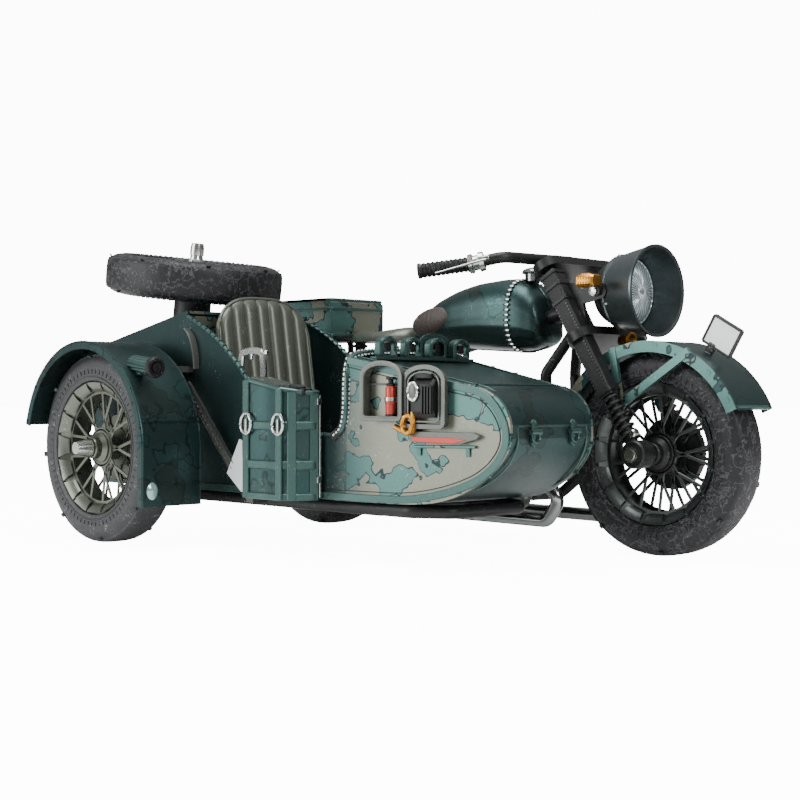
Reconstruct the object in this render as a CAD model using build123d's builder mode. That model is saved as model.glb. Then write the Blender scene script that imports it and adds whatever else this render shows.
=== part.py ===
"""Sidecar motorcycle, a folded sheet-metal model: frame, fork, three running wheels and a sidecar.

+X is forward, +Y is the rider's left, +Z is up. The origin is on the ground, under the middle of
the whole model. The motorcycle's centre plane is at y = BIKE_Y and the sidecar is on its right.
"""
from build123d import *
import os
from math import atan2, cos, degrees, radians, sin, tan

# ---------------------------------------------------------------- driving dimensions (mm)
WHEELBASE = 92.8          # front axle to rear axle
WHEEL_LEAD = 90.4         # front axle to sidecar axle
TRACK = 61.7              # motorcycle's centre plane to the sidecar wheel's centre plane
TYRE_R = 19.0
TYRE_W = 8.4
BEAD_R = 13.2             # where the tyre sits on the rim
RIM_WALL = 1.2
SPOKE_SHEET = 0.5         # thickness of an etched spoke sheet
SPOKE_SHEET_Y = 1.6       # how far each spoke sheet is from the wheel's centre plane
SPOKE_PAIRS = 9
SPOKE_W = 0.7
HUB_R = 2.6
HUB_W = 9.2
DRUM_R = 6.8
AXLE_R = 1.0
RUNNING_GAP = 0.05        # radial clearance of an axle in its hub
SHEET = 0.6               # thickness of the body and fender sheet

FRONT_X = 48.9            # front axle, from the middle of the model
REAR_X = FRONT_X - WHEELBASE
CAR_X = FRONT_X - WHEEL_LEAD
BAR_HALF = 27.0           # handlebar's centre to the end of a grip
FENDER_HALF = 6.9         # half width of the sidecar wheel's fender
CAP_REACH = 8.0           # sidecar wheel's centre plane to the end of its axle cap
BIKE_Y = (TRACK + CAP_REACH - BAR_HALF - 1.2) / 2
WHEEL_Y = BIKE_Y - TRACK

RAKE = 31.0               # fork's lean from the vertical, in degrees
FORK_OFFSET = 4.5         # fork legs stand this far ahead of the steering axis
FORK_HALF = 8.2           # centre plane to a fork leg
FORK_R = 1.9
STEM_R = 1.5
HEAD_R = 2.6
HEAD_LOW = 40.0           # height of the steering head's lower end
HEAD_HIGH = 50.5          # height of the steering head's upper end

CAR_OFFSET = 35.0         # motorcycle's centre plane to the sidecar body's centre plane
CAR_HALF = 16.0           # half width of the sidecar body at the cockpit
NOSE_HALF = 11.0          # half width of the sidecar body at the nose
CAR_Y = BIKE_Y - CAR_OFFSET
CAR_FLOOR = 10.8          # height of the sidecar's underside
COCKPIT_BACK = -30.0
COCKPIT_FRONT = 17.0
NOSE_X = 50.8
SILL = 22.5
COWL_BACK_Z = 36.5        # cowl height at the cockpit
COWL_NOSE_Z = 31.2        # cowl height where the nose curve begins
TAIL_TOP = 46.5
TAIL_END_X = -64.0
RAIL_R = 1.2
RAIL_HALF = 13.0          # sidecar frame rails from the sidecar's centre plane

BACKWARD_SLOPE = tan(radians(RAKE))
os.makedirs("parts", exist_ok=True)


# ---------------------------------------------------------------- helpers
def write(piece, label):
    """Label a finished piece and write its STEP file."""
    piece.part.label = label
    export_step(piece.part, f"parts/{label}.step")


def side(y, x=0.0, z=0.0):
    """Return a plane that faces the right: its own x runs forward and its own y runs up."""
    return Plane(origin=(x, y, z), x_dir=(1, 0, 0), z_dir=(0, -1, 0))


def across(x, y=0.0, z=0.0):
    """Return a plane that faces forward: its own x runs to the left and its own y runs up."""
    return Plane(origin=(x, y, z), x_dir=(0, 1, 0), z_dir=(1, 0, 0))


def upright(x, y, z=TYRE_R):
    """Return the plane of a wheel that stands upright: its own y is the axle."""
    return Plane(origin=(x, y, z), x_dir=(1, 0, 0), z_dir=(0, 0, 1))


def rod(start, end, radius):
    """Add a straight round bar between two points to the part that is being built."""
    run = Vector(*end) - Vector(*start)
    with Locations(Plane(origin=start, z_dir=run)):
        Cylinder(radius, run.length, align=(Align.CENTER, Align.CENTER, Align.MIN))


def bent_bar(points, radius, bend=2.2):
    """Add one round bar that runs through the points, with a bend at each corner."""
    with BuildLine() as route:
        FilletPolyline(*points, radius=bend)
    with BuildSketch(Plane(origin=route.line @ 0, z_dir=route.line % 0)) as section:
        Circle(radius)
    sweep(sections=section.sketch, path=route.line)


def fork_point(height, along_y=0.0, ahead=FORK_OFFSET):
    """Return the point on the line of the fork, or of its stem, at a height."""
    back = (height - TYRE_R) * BACKWARD_SLOPE
    stem = (FORK_OFFSET - ahead) / cos(radians(RAKE))
    return (FRONT_X - back - stem, BIKE_Y + along_y, height)


# ---------------------------------------------------------------- wheels
def make_tyre(plane):
    """Make a tyre with a flat tread, round shoulders and bulged walls."""
    half = TYRE_W / 2
    shoulder = 1.8
    with BuildPart() as tyre:
        with BuildSketch(plane):
            with BuildLine():
                Line((BEAD_R, -half + 0.9), (BEAD_R, half - 0.9))
                Line((BEAD_R, half - 0.9), (BEAD_R + 1.2, half))
                Line((BEAD_R + 1.2, half), (TYRE_R - shoulder, half))
                RadiusArc((TYRE_R - shoulder, half), (TYRE_R, half - shoulder), shoulder)
                Line((TYRE_R, half - shoulder), (TYRE_R, -half + shoulder))
                RadiusArc((TYRE_R, -half + shoulder), (TYRE_R - shoulder, -half), shoulder)
                Line((TYRE_R - shoulder, -half), (BEAD_R + 1.2, -half))
                Line((BEAD_R + 1.2, -half), (BEAD_R, -half + 0.9))
            make_face()
        revolve(axis=Axis(plane.origin, plane.y_dir))
    return tyre


def make_rim(plane):
    """Make the rim ring with its two etched sheets of crossed spokes."""
    flat = Plane(origin=plane.origin, x_dir=plane.x_dir, z_dir=plane.y_dir)
    spoke_ring = BEAD_R - RIM_WALL
    with BuildPart() as rim:
        with BuildSketch(flat.offset(-TYRE_W / 2 + 0.6)):
            Circle(BEAD_R)
            Circle(spoke_ring, mode=Mode.SUBTRACT)
        extrude(amount=TYRE_W - 1.2)
        for height in (-SPOKE_SHEET_Y, SPOKE_SHEET_Y):
            with BuildSketch(flat.offset(height - SPOKE_SHEET / 2)):
                Circle(spoke_ring + RIM_WALL / 2)
                Circle(spoke_ring - 1.0, mode=Mode.SUBTRACT)
                Circle(HUB_R + 1.4)
                for pair in range(SPOKE_PAIRS):
                    for lean in (-1, 1):
                        foot = radians(360 / SPOKE_PAIRS * pair - 16 * lean)
                        head = radians(360 / SPOKE_PAIRS * pair + 9 * lean)
                        inner = Vector(HUB_R * cos(foot), HUB_R * sin(foot))
                        outer = Vector(spoke_ring * cos(head), spoke_ring * sin(head))
                        middle = (inner + outer) / 2
                        run = outer - inner
                        with Locations((middle.X, middle.Y)):
                            Rectangle(run.length, SPOKE_W, rotation=degrees(atan2(run.Y, run.X)))
                Circle(HUB_R, mode=Mode.SUBTRACT)
            extrude(amount=SPOKE_SHEET)
    return rim


def make_hub(plane):
    """Make the hub barrel, bored for its axle, with the brake drum on the left side."""
    flat = Plane(origin=plane.origin, x_dir=plane.x_dir, z_dir=plane.y_dir)
    drum_start = SPOKE_SHEET_Y + SPOKE_SHEET / 2 + 0.1
    with BuildPart() as hub:
        with BuildSketch(flat.offset(-HUB_W / 2)):
            Circle(HUB_R)
        extrude(amount=HUB_W)
        with BuildSketch(flat.offset(drum_start)):
            Circle(DRUM_R)
        extrude(amount=TYRE_W / 2 - 0.2 - drum_start)
        with BuildSketch(flat.offset(-HUB_W / 2)):
            Circle(AXLE_R + RUNNING_GAP)
        extrude(amount=HUB_W, mode=Mode.SUBTRACT)
    return hub


front_plane = upright(FRONT_X, BIKE_Y)
rear_plane = upright(REAR_X, BIKE_Y)
car_plane = upright(CAR_X, WHEEL_Y)
for name, plane in (("front", front_plane), ("rear", rear_plane), ("sidecar", car_plane)):
    write(make_tyre(plane), f"{name}_tyre")
    write(make_rim(plane), f"{name}_rim")
    write(make_hub(plane), f"{name}_hub")


# ---------------------------------------------------------------- fork and handlebar
fork_top_z = HEAD_HIGH + 2.6
boss_inner = FORK_HALF - 2.4
with BuildPart() as front_axle:
    rod((FRONT_X, BIKE_Y - FORK_HALF - 2.6, TYRE_R), (FRONT_X, BIKE_Y + FORK_HALF + 2.6, TYRE_R), AXLE_R)
write(front_axle, "front_axle")

leg_break = 29.5          # height where a fork leg's cover ends and its spring begins
COIL_PITCH = 1.25
COIL_H = 0.6
AXLE_BOSS_R = 2.6
with BuildPart() as fork_covers:
    for hand in (-1, 1):
        rod(fork_point(leg_break, hand * FORK_HALF), fork_point(fork_top_z, hand * FORK_HALF), FORK_R)
write(fork_covers, "fork_covers")

with BuildPart() as fork_springs:
    for hand in (-1, 1):
        rod(fork_point(TYRE_R, hand * FORK_HALF), fork_point(leg_break, hand * FORK_HALF), FORK_R - 0.5)
        for coil in range(6):
            height = TYRE_R + 3.2 + coil * COIL_PITCH
            coil_low = fork_point(height, hand * FORK_HALF)
            coil_high = fork_point(height + COIL_H, hand * FORK_HALF)
            rod(coil_low, coil_high, FORK_R - 0.1)
        boss_outer = FORK_HALF + FORK_R
        rod(
            (FRONT_X, BIKE_Y + hand * boss_inner, TYRE_R),
            (FRONT_X, BIKE_Y + hand * boss_outer, TYRE_R),
            AXLE_BOSS_R,
        )
    add(front_axle.part, mode=Mode.SUBTRACT)
write(fork_springs, "fork_springs")

yoke_lift = 0.6           # gap between the steering head and each yoke, along the stem
with BuildPart() as fork_yokes:
    low = fork_point(HEAD_LOW - 1.0, ahead=0)
    high = fork_point(HEAD_HIGH + 1.0, ahead=0)
    stem_plane = Plane(origin=low, x_dir=(0, 1, 0), z_dir=Vector(*high) - Vector(*low))
    stem_length = (Vector(*high) - Vector(*low)).length
    for start, thickness in ((-1.6, 1.8), (stem_length - 0.2, 1.8)):
        with BuildSketch(stem_plane.offset(start)):
            with Locations((0, -FORK_OFFSET)):
                SlotCenterToCenter(2 * FORK_HALF, 2 * FORK_R + 1.6)
            with Locations((0, -FORK_OFFSET / 2)):
                Rectangle(9.0, FORK_OFFSET)
            Circle(STEM_R + 1.4)
        extrude(amount=thickness)
    rod(low, high, STEM_R)
    add(fork_covers.part, mode=Mode.SUBTRACT)
write(fork_yokes, "fork_yokes")

bar_r = 1.1
bar_bend = (FRONT_X - 26.4, 15.5, 56.2)
grip_in = (FRONT_X - 31.6, 19.0, 54.9)
grip_out = (FRONT_X - 37.7, BAR_HALF, 53.4)
bar_middle = (FRONT_X - 22.6, BIKE_Y, 56.0)
bar_route = [
    (grip_in[0], BIKE_Y - grip_in[1], grip_in[2]),
    (bar_bend[0], BIKE_Y - bar_bend[1], bar_bend[2]),
    bar_middle,
    (bar_bend[0], BIKE_Y + bar_bend[1], bar_bend[2]),
    (grip_in[0], BIKE_Y + grip_in[1], grip_in[2]),
]
with BuildPart() as handlebar:
    bent_bar(bar_route, bar_r, 4.0)
    for hand in (-1, 1):
        post_y = BIKE_Y + hand * 3.5
        rod((bar_middle[0], post_y, 53.2), (bar_middle[0], post_y, 56.0), 1.0)
    add(fork_yokes.part, mode=Mode.SUBTRACT)
write(handlebar, "handlebar")

with BuildPart() as grips:
    for hand in (-1, 1):
        inner = (grip_in[0], BIKE_Y + hand * grip_in[1], grip_in[2])
        outer = (grip_out[0], BIKE_Y + hand * grip_out[1], grip_out[2])
        rod(inner, outer, 1.5)
    add(handlebar.part, mode=Mode.SUBTRACT)
write(grips, "grips")

with BuildPart() as control_levers:
    for hand in (-1, 1):
        bend = Vector(bar_bend[0], BIKE_Y + hand * bar_bend[1], bar_bend[2])
        inner = Vector(grip_in[0], BIKE_Y + hand * grip_in[1], grip_in[2])
        outer = Vector(grip_out[0], BIKE_Y + hand * grip_out[1], grip_out[2])
        clamp_end = inner + (bend - inner) * 0.55
        rod(tuple(inner), tuple(clamp_end), 2.0)
        tip = outer + Vector(2.6, 0, -0.9)
        pivot = clamp_end + Vector(1.4, 0, 0.2)
        rod(tuple(pivot), tuple(tip + (pivot - tip) * 0.12), 0.45)
    add(handlebar.part, mode=Mode.SUBTRACT)
    add(grips.part, mode=Mode.SUBTRACT)
write(control_levers, "control_levers")


# ---------------------------------------------------------------- headlight and signals
LAMP_Z = 49.3
LAMP_BACK = FRONT_X - 14.6
LAMP_STEP = FRONT_X - 9.6      # where the bowl meets the hood
LAMP_FRONT = FRONT_X - 1.6
BOWL_R = 6.4
HOOD_R = 8.4
LENS_R = 6.6
with BuildPart() as headlight_bowl:
    with BuildSketch(Plane(origin=(0, BIKE_Y, LAMP_Z))):
        with BuildLine():
            Line((LAMP_BACK, 0), (LAMP_STEP + 1.6, 0))
            Line((LAMP_STEP + 1.6, 0), (LAMP_STEP + 1.6, BOWL_R - 0.9))
            Line((LAMP_STEP + 1.6, BOWL_R - 0.9), (LAMP_STEP, BOWL_R))
            Spline((LAMP_STEP, BOWL_R), (LAMP_BACK, 0), tangents=((-1, 0), (0, -1)))
        make_face()
    revolve(axis=Axis((0, BIKE_Y, LAMP_Z), (1, 0, 0)))
write(headlight_bowl, "headlight_bowl")

with BuildPart() as headlight_lens:
    with BuildSketch(across(LAMP_STEP + 1.6, BIKE_Y, LAMP_Z)):
        Circle(LENS_R)
    extrude(amount=1.0)
write(headlight_lens, "headlight_lens")

with BuildPart() as headlight_hood:
    with BuildSketch(Plane(origin=(0, BIKE_Y, LAMP_Z))):
        with BuildLine():
            Polyline(
                (LAMP_STEP, BOWL_R + 0.02),
                (LAMP_STEP, BOWL_R + 0.8),
                (LAMP_FRONT, HOOD_R + 0.3),
                (LAMP_FRONT, HOOD_R - 0.3),
                (LAMP_STEP + 2.6, LENS_R),
                (LAMP_STEP + 1.6, LENS_R),
                (LAMP_STEP + 1.6, BOWL_R + 0.02),
                close=True,
            )
        make_face()
    revolve(axis=Axis((0, BIKE_Y, LAMP_Z), (1, 0, 0)))
    add(headlight_bowl.part, mode=Mode.SUBTRACT)
    add(headlight_lens.part, mode=Mode.SUBTRACT)
write(headlight_hood, "headlight_hood")

EAR = 0.8                 # thickness of a lamp bracket
with BuildPart() as lamp_brackets:
    for hand in (-1, 1):
        ear_y = BIKE_Y + hand * (BOWL_R + 0.75)
        leg_top = fork_point(LAMP_Z, 0)[0]
        leg_low = fork_point(LAMP_Z - 7.5, 0)[0]
        with BuildSketch(side(ear_y)):
            with BuildLine():
                Polyline((leg_top + 0.2, LAMP_Z + 1.9), (leg_top + 8.8, LAMP_Z + 1.5))
                ThreePointArc(
                    (leg_top + 8.8, LAMP_Z + 1.5),
                    (leg_top + 10.3, LAMP_Z),
                    (leg_top + 8.8, LAMP_Z - 1.5),
                )
                Polyline(
                    (leg_top + 8.8, LAMP_Z - 1.5),
                    (leg_top + 5.0, LAMP_Z - 2.2),
                    (leg_low + 1.6, LAMP_Z - 7.5),
                    (leg_low - 0.8, LAMP_Z - 6.9),
                    (leg_top + 0.2, LAMP_Z + 1.9),
                )
            make_face()
        extrude(amount=EAR / 2, both=True)
        bolt_x = leg_top + 8.4
        rod((bolt_x, BIKE_Y + hand * (BOWL_R - 1.6), LAMP_Z), (bolt_x, ear_y + hand * 1.0, LAMP_Z), 0.9)
    add(headlight_bowl.part, mode=Mode.SUBTRACT)
    add(headlight_hood.part, mode=Mode.SUBTRACT)
    add(fork_covers.part, mode=Mode.SUBTRACT)
    add(fork_yokes.part, mode=Mode.SUBTRACT)
write(lamp_brackets, "lamp_brackets")

with BuildPart() as signal_lamps:
    for hand in (-1, 1):
        signal_y = BIKE_Y + hand * 11.2
        with BuildSketch(across(FRONT_X - 10.6, signal_y, LAMP_Z + 1.6)):
            RectangleRounded(5.2, 3.6, 0.5)
        extrude(amount=3.4, taper=10)
        bracket_face = BIKE_Y + hand * (BOWL_R + 0.75 + EAR / 2)
        arm_x = FRONT_X - 10.2
        rod((arm_x, bracket_face, LAMP_Z + 0.7), (arm_x, signal_y - hand * 1.0, LAMP_Z + 1.0), 0.5)
    add(lamp_brackets.part, mode=Mode.SUBTRACT)
write(signal_lamps, "signal_lamps")


# ---------------------------------------------------------------- front fender
FENDER_GAP = 1.2          # tyre's tread to the inside of a motorcycle fender
FRONT_FENDER_HALF = 5.9
def fender_arc(plane, inner, half, start, end):
    """Make a curved sheet around a wheel, between two angles from the forward direction."""
    flat = Plane(origin=plane.origin, x_dir=(1, 0, 0), z_dir=(0, -1, 0))
    with BuildPart() as sheet:
        with BuildSketch(flat):
            with BuildLine():
                CenterArc((0, 0), inner + SHEET, start, end - start)
                CenterArc((0, 0), inner, start, end - start)
                for angle in (radians(start), radians(end)):
                    Line(
                        (inner * cos(angle), inner * sin(angle)),
                        ((inner + SHEET) * cos(angle), (inner + SHEET) * sin(angle)),
                    )
            make_face()
        extrude(amount=half, both=True)
    return sheet


front_fender = fender_arc(front_plane, TYRE_R + FENDER_GAP, FRONT_FENDER_HALF, 24, 158)
write(front_fender, "front_fender")

with BuildPart() as fender_stays:
    for hand in (-1, 1):
        for angle in (66, 112):
            reach = TYRE_R + FENDER_GAP - 0.6
            top = (
                FRONT_X + reach * cos(radians(angle)),
                BIKE_Y + hand * (FRONT_FENDER_HALF - 0.1),
                TYRE_R + reach * sin(radians(angle)),
            )
            foot = fork_point(28.0, hand * (FORK_HALF - 1.9))
            with BuildSketch(Plane(origin=foot, x_dir=(0, 1, 0), z_dir=Vector(*top) - Vector(*foot))):
                Rectangle(0.8, 1.5)
            extrude(amount=(Vector(*top) - Vector(*foot)).length + 1.5)
        rod(fork_point(27.2, hand * (FORK_HALF - 1.2)), fork_point(28.8, hand * (FORK_HALF - 1.2)), 1.2)
    add(front_fender.part, mode=Mode.SUBTRACT)
    add(fork_springs.part, mode=Mode.SUBTRACT)
    add(fork_covers.part, mode=Mode.SUBTRACT)
write(fender_stays, "fender_stays")

PLATE_ANGLE = 60.0        # where the number plate stands on the fender
plate_r = TYRE_R + FENDER_GAP + SHEET
with BuildPart() as number_plate:
    outward = radians(PLATE_ANGLE)
    foot = (FRONT_X + plate_r * cos(outward), BIKE_Y, TYRE_R + plate_r * sin(outward))
    plate_plane = Plane(origin=foot, x_dir=(sin(outward), 0, -cos(outward)), z_dir=(0, -1, 0))
    with BuildSketch(plate_plane):
        with Locations((0, 4.0)):
            RectangleRounded(6.8, 5.6, 0.5)
        with Locations((-1.0, 0.8)):
            Rectangle(1.2, 2.6)
    extrude(amount=0.25, both=True)
    add(front_fender.part, mode=Mode.SUBTRACT)
write(number_plate, "number_plate")


# ---------------------------------------------------------------- motorcycle frame
CRADLE_HALF = 4.6
STAY_HALF = 6.9
CRADLE_Z = 10.0
TUBE_R = 1.1
with BuildPart() as main_frame:
    rod(fork_point(HEAD_LOW, ahead=0), fork_point(HEAD_HIGH, ahead=0), HEAD_R)
    head_mid = fork_point(46.5, ahead=0)
    head_foot = fork_point(HEAD_LOW + 3.6, ahead=0)
    bent_bar((head_mid, (-10.0, BIKE_Y, 38.0), (-28.0, BIKE_Y, 36.0)), 1.6)
    for hand in (-1, 1):
        y_in = BIKE_Y + hand * CRADLE_HALF
        y_out = BIKE_Y + hand * STAY_HALF
        bent_bar(
            (
                head_foot,
                (head_foot[0] - 4.5, y_in, 34.0),
                (25.0, y_in, CRADLE_Z + 3.0),
                (21.0, y_in, CRADLE_Z),
                (-16.0, y_in, CRADLE_Z),
                (-26.0, y_out, CRADLE_Z + 1.0),
                (REAR_X, y_out, 13.0),
            ),
            TUBE_R,
        )
        rod((-28.0, y_out, 36.0), (REAR_X, y_out, 30.0), TUBE_R)
        rod((-16.0, y_in, CRADLE_Z), (-20.0, BIKE_Y + hand * 0.8, 37.0), TUBE_R)
        rod((REAR_X, y_out, 11.4), (REAR_X, y_out, 32.0), 1.9)
    rod((-28.0, BIKE_Y - STAY_HALF, 36.0), (-28.0, BIKE_Y + STAY_HALF, 36.0), TUBE_R)
    rod((21.0, BIKE_Y - CRADLE_HALF, CRADLE_Z), (21.0, BIKE_Y + CRADLE_HALF, CRADLE_Z), TUBE_R)
    stem_hole = (fork_point(HEAD_LOW - 2, ahead=0), fork_point(HEAD_HIGH + 2, ahead=0))
    run = Vector(*stem_hole[1]) - Vector(*stem_hole[0])
    with Locations(Plane(origin=stem_hole[0], z_dir=run)):
        Cylinder(
            STEM_R + RUNNING_GAP,
            run.length,
            align=(Align.CENTER, Align.CENTER, Align.MIN),
            mode=Mode.SUBTRACT,
        )
    with Locations(Plane(origin=(REAR_X, BIKE_Y, TYRE_R), z_dir=(0, 1, 0))):
        Cylinder(AXLE_R, 4 * STAY_HALF, mode=Mode.SUBTRACT)
write(main_frame, "main_frame")

with BuildPart() as rear_axle:
    rod((REAR_X, BIKE_Y - STAY_HALF - 2.6, TYRE_R), (REAR_X, BIKE_Y + STAY_HALF + 2.6, TYRE_R), AXLE_R)
write(rear_axle, "rear_axle")

rear_fender = fender_arc(rear_plane, TYRE_R + FENDER_GAP, 5.2, 35, 172)

with BuildPart() as rear_fender_hung:
    add(rear_fender.part)
    for hand in (-1, 1):
        y_out = BIKE_Y + hand * STAY_HALF
        crown = TYRE_R + FENDER_GAP
        for angle in (70, 128):
            foot = (REAR_X, y_out - hand * 0.6, 27.0)
            top = (
                REAR_X + crown * cos(radians(angle)),
                BIKE_Y + hand * 5.6,
                TYRE_R + crown * sin(radians(angle)),
            )
            rod(foot, top, 0.5)
            rod((top[0], BIKE_Y + hand * 5.9, top[2]), (top[0], BIKE_Y + hand * 4.0, top[2] + 0.3), 0.6)
    add(main_frame.part, mode=Mode.SUBTRACT)
write(rear_fender_hung, "rear_fender")


# ---------------------------------------------------------------- engine and exhaust
CASE_HALF = 3.3
CASE_BACK = -13.0
CASE_FRONT = 17.0
CYLINDER_X = 8.0
CYLINDER_Z = 20.5
CYLINDER_END = 13.6
with BuildPart() as engine_case:
    with BuildSketch(side(BIKE_Y)):
        with BuildLine():
            Polyline(
                (CASE_BACK, CRADLE_Z + 2.4),
                (CASE_FRONT - 3, CRADLE_Z + 1.5),
                (CASE_FRONT, CRADLE_Z + 5),
            )
            Polyline((CASE_FRONT, CRADLE_Z + 5), (CASE_FRONT, 27.0), (CASE_FRONT - 4, 31.0), (0.0, 31.0))
            Polyline((0.0, 31.0), (-4.0, 26.0), (CASE_BACK, 24.0), (CASE_BACK, CRADLE_Z + 2.4))
        make_face()
    extrude(amount=CASE_HALF, both=True)
    with BuildSketch(side(BIKE_Y)):
        with Locations((CYLINDER_X, CYLINDER_Z)):
            Circle(5.6)
    extrude(amount=CASE_HALF + 1.6, both=True)
write(engine_case, "engine_case")

with BuildPart() as cylinders:
    for hand in (-1, 1):
        root_y = BIKE_Y + hand * (CASE_HALF + 1.6)
        end_y = BIKE_Y + hand * CYLINDER_END
        rod((CYLINDER_X, root_y, CYLINDER_Z), (CYLINDER_X, end_y, CYLINDER_Z), 3.4)
        for fin in range(5):
            fin_y = root_y + hand * (0.8 + 1.3 * fin)
            rod((CYLINDER_X, fin_y, CYLINDER_Z), (CYLINDER_X, fin_y + hand * 0.5, CYLINDER_Z), 4.6)
        rod((CYLINDER_X, end_y - hand * 1.6, CYLINDER_Z), (CYLINDER_X, end_y, CYLINDER_Z), 4.2)
with BuildPart() as cylinders_with_carburettors:
    add(cylinders.part)
    for hand in (-1, 1):
        y_out = BIKE_Y + hand * 8.2
        inlet = (CYLINDER_X - 3.0, y_out, CYLINDER_Z + 1.0)
        mouth = (CYLINDER_X - 9.0, y_out, CYLINDER_Z + 1.5)
        rod(inlet, mouth, 1.25)
        bowl_x = CYLINDER_X - 7.4
        rod((bowl_x, y_out, CYLINDER_Z - 0.8), (bowl_x, y_out, CYLINDER_Z + 4.0), 1.7)
write(cylinders_with_carburettors, "cylinders")

PIPE_R = 1.3
PIPE_Y = 9.0
PIPE_Z = 5.6
MUFFLER_R = 2.2
MUFFLER_Z = 5.9
MUFFLER_START = -12.0
MUFFLER_END = -46.0
TAIL_PIPE_R = 1.2
TAIL_PIPE = 8.0           # how far the tail pipe runs on behind the muffler
STAY_X = -30.0            # where the stay to the main frame stands
with BuildPart() as exhaust_pipes:
    for hand in (-1, 1):
        bent_bar(
            (
                (CYLINDER_X + 3.0, BIKE_Y + hand * 11.2, CYLINDER_Z - 1.0),
                (CYLINDER_X + 16.0, BIKE_Y + hand * 10.6, CYLINDER_Z - 3.5),
                (32.0, BIKE_Y + hand * (PIPE_Y + 0.4), PIPE_Z + 4.5),
                (28.5, BIKE_Y + hand * PIPE_Y, PIPE_Z),
                (MUFFLER_START - 4.0, BIKE_Y + hand * PIPE_Y, MUFFLER_Z),
            ),
            PIPE_R,
        )
    add(cylinders.part, mode=Mode.SUBTRACT)

with BuildPart() as exhausts:
    add(exhaust_pipes.part)
    for hand in (-1, 1):
        y_out = BIKE_Y + hand * PIPE_Y
        with BuildSketch(side(y_out, z=MUFFLER_Z)):
            with BuildLine():
                Polyline(
                    (MUFFLER_START, 0),
                    (MUFFLER_START, PIPE_R + 0.3),
                    (MUFFLER_START - 5.0, MUFFLER_R),
                    (MUFFLER_END + 0.8, MUFFLER_R),
                    (MUFFLER_END, MUFFLER_R - 0.8),
                    (MUFFLER_END, TAIL_PIPE_R),
                    (MUFFLER_END - TAIL_PIPE, TAIL_PIPE_R),
                    (MUFFLER_END - TAIL_PIPE, 0),
                    close=True,
                )
            make_face()
        revolve(axis=Axis((0, y_out, MUFFLER_Z), (1, 0, 0)))
        rod(
            (STAY_X, y_out - hand * 1.0, MUFFLER_Z + 1.0),
            (STAY_X, BIKE_Y + hand * STAY_HALF, CRADLE_Z + 1.2),
            0.8,
        )
    add(main_frame.part, mode=Mode.SUBTRACT)
write(exhausts, "exhausts")


# ---------------------------------------------------------------- tank, saddle and luggage
TANK_HALF = 7.0
TANK_BACK = -14.0
with BuildPart() as fuel_tank:
    with BuildSketch(side(BIKE_Y)):
        with BuildLine():
            Spline((TANK_BACK, 41.6), (-6.0, 49.6), (4.0, 53.2), (17.0, 53.0))
            Polyline((17.0, 53.0), (19.6, 50.4), (22.4, 40.5), (16.0, 38.6), (TANK_BACK, 41.6))
        make_face()
    extrude(amount=TANK_HALF, both=True)
    with BuildSketch(Plane(origin=(0, BIKE_Y, 30))):
        with BuildLine():
            Spline((TANK_BACK - 1, -3.6), (0.0, -TANK_HALF), (12.0, -TANK_HALF + 0.4), (24.0, -4.2))
            Line((24.0, -4.2), (24.0, 4.2))
            Spline((24.0, 4.2), (12.0, TANK_HALF - 0.4), (0.0, TANK_HALF), (TANK_BACK - 1, 3.6))
            Line((TANK_BACK - 1, 3.6), (TANK_BACK - 1, -3.6))
        make_face()
    extrude(amount=40, mode=Mode.INTERSECT)
    add(main_frame.part, mode=Mode.SUBTRACT)
write(fuel_tank, "fuel_tank")

CAP_X = 17.6
with BuildPart() as tank_cap:
    with BuildSketch(Plane.XY.offset(51.0)):
        with Locations((CAP_X, BIKE_Y)):
            Circle(2.0)
    extrude(amount=3.6)
    with BuildSketch(Plane.XY.offset(54.6)):
        with Locations((CAP_X, BIKE_Y)):
            Circle(2.6)
    extrude(amount=0.9)
    add(fuel_tank.part, mode=Mode.SUBTRACT)
    split(bisect_by=Plane.XY.offset(52.6), keep=Keep.TOP)
write(tank_cap, "tank_cap")

with BuildPart() as knee_pads:
    for hand in (-1, 1):
        pad = Plane(origin=(-5.0, BIKE_Y + hand * 5.2, 45.2), x_dir=(1, 0, 0.18), z_dir=(0, hand, 0))
        with BuildSketch(pad):
            Ellipse(5.6, 2.7)
        extrude(amount=2.5)
    add(fuel_tank.part, mode=Mode.SUBTRACT)
write(knee_pads, "knee_pads")

SADDLE_Z = 41.4
with BuildPart() as saddle:
    with BuildSketch(Plane(origin=(0, BIKE_Y, SADDLE_Z))):
        Polygon(
            (-14.0, -2.2), (-22.0, -4.6), (-27.0, -8.4), (-33.6, -8.4),
            (-33.6, 8.4), (-27.0, 8.4), (-22.0, 4.6), (-14.0, 2.2),
            align=None,
        )
        fillet(vertices(), 1.6)
    extrude(amount=3.4)
    fillet(saddle.faces().sort_by(Axis.Z)[-1].edges(), 0.9)
write(saddle, "saddle")

with BuildPart() as saddle_springs:
    for hand in (-1, 1):
        rod((-28.0, BIKE_Y + hand * 5.0, 36.2), (-28.0, BIKE_Y + hand * 5.0, SADDLE_Z), 1.2)
        for coil in range(3):
            height = 37.6 + coil * 1.3
            rod((-28.0, BIKE_Y + hand * 5.0, height), (-28.0, BIKE_Y + hand * 5.0, height + 0.6), 1.6)
    rod((-18.0, BIKE_Y, 37.0), (-18.0, BIKE_Y, SADDLE_Z), 1.0)
    add(main_frame.part, mode=Mode.SUBTRACT)
write(saddle_springs, "saddle_springs")

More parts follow.
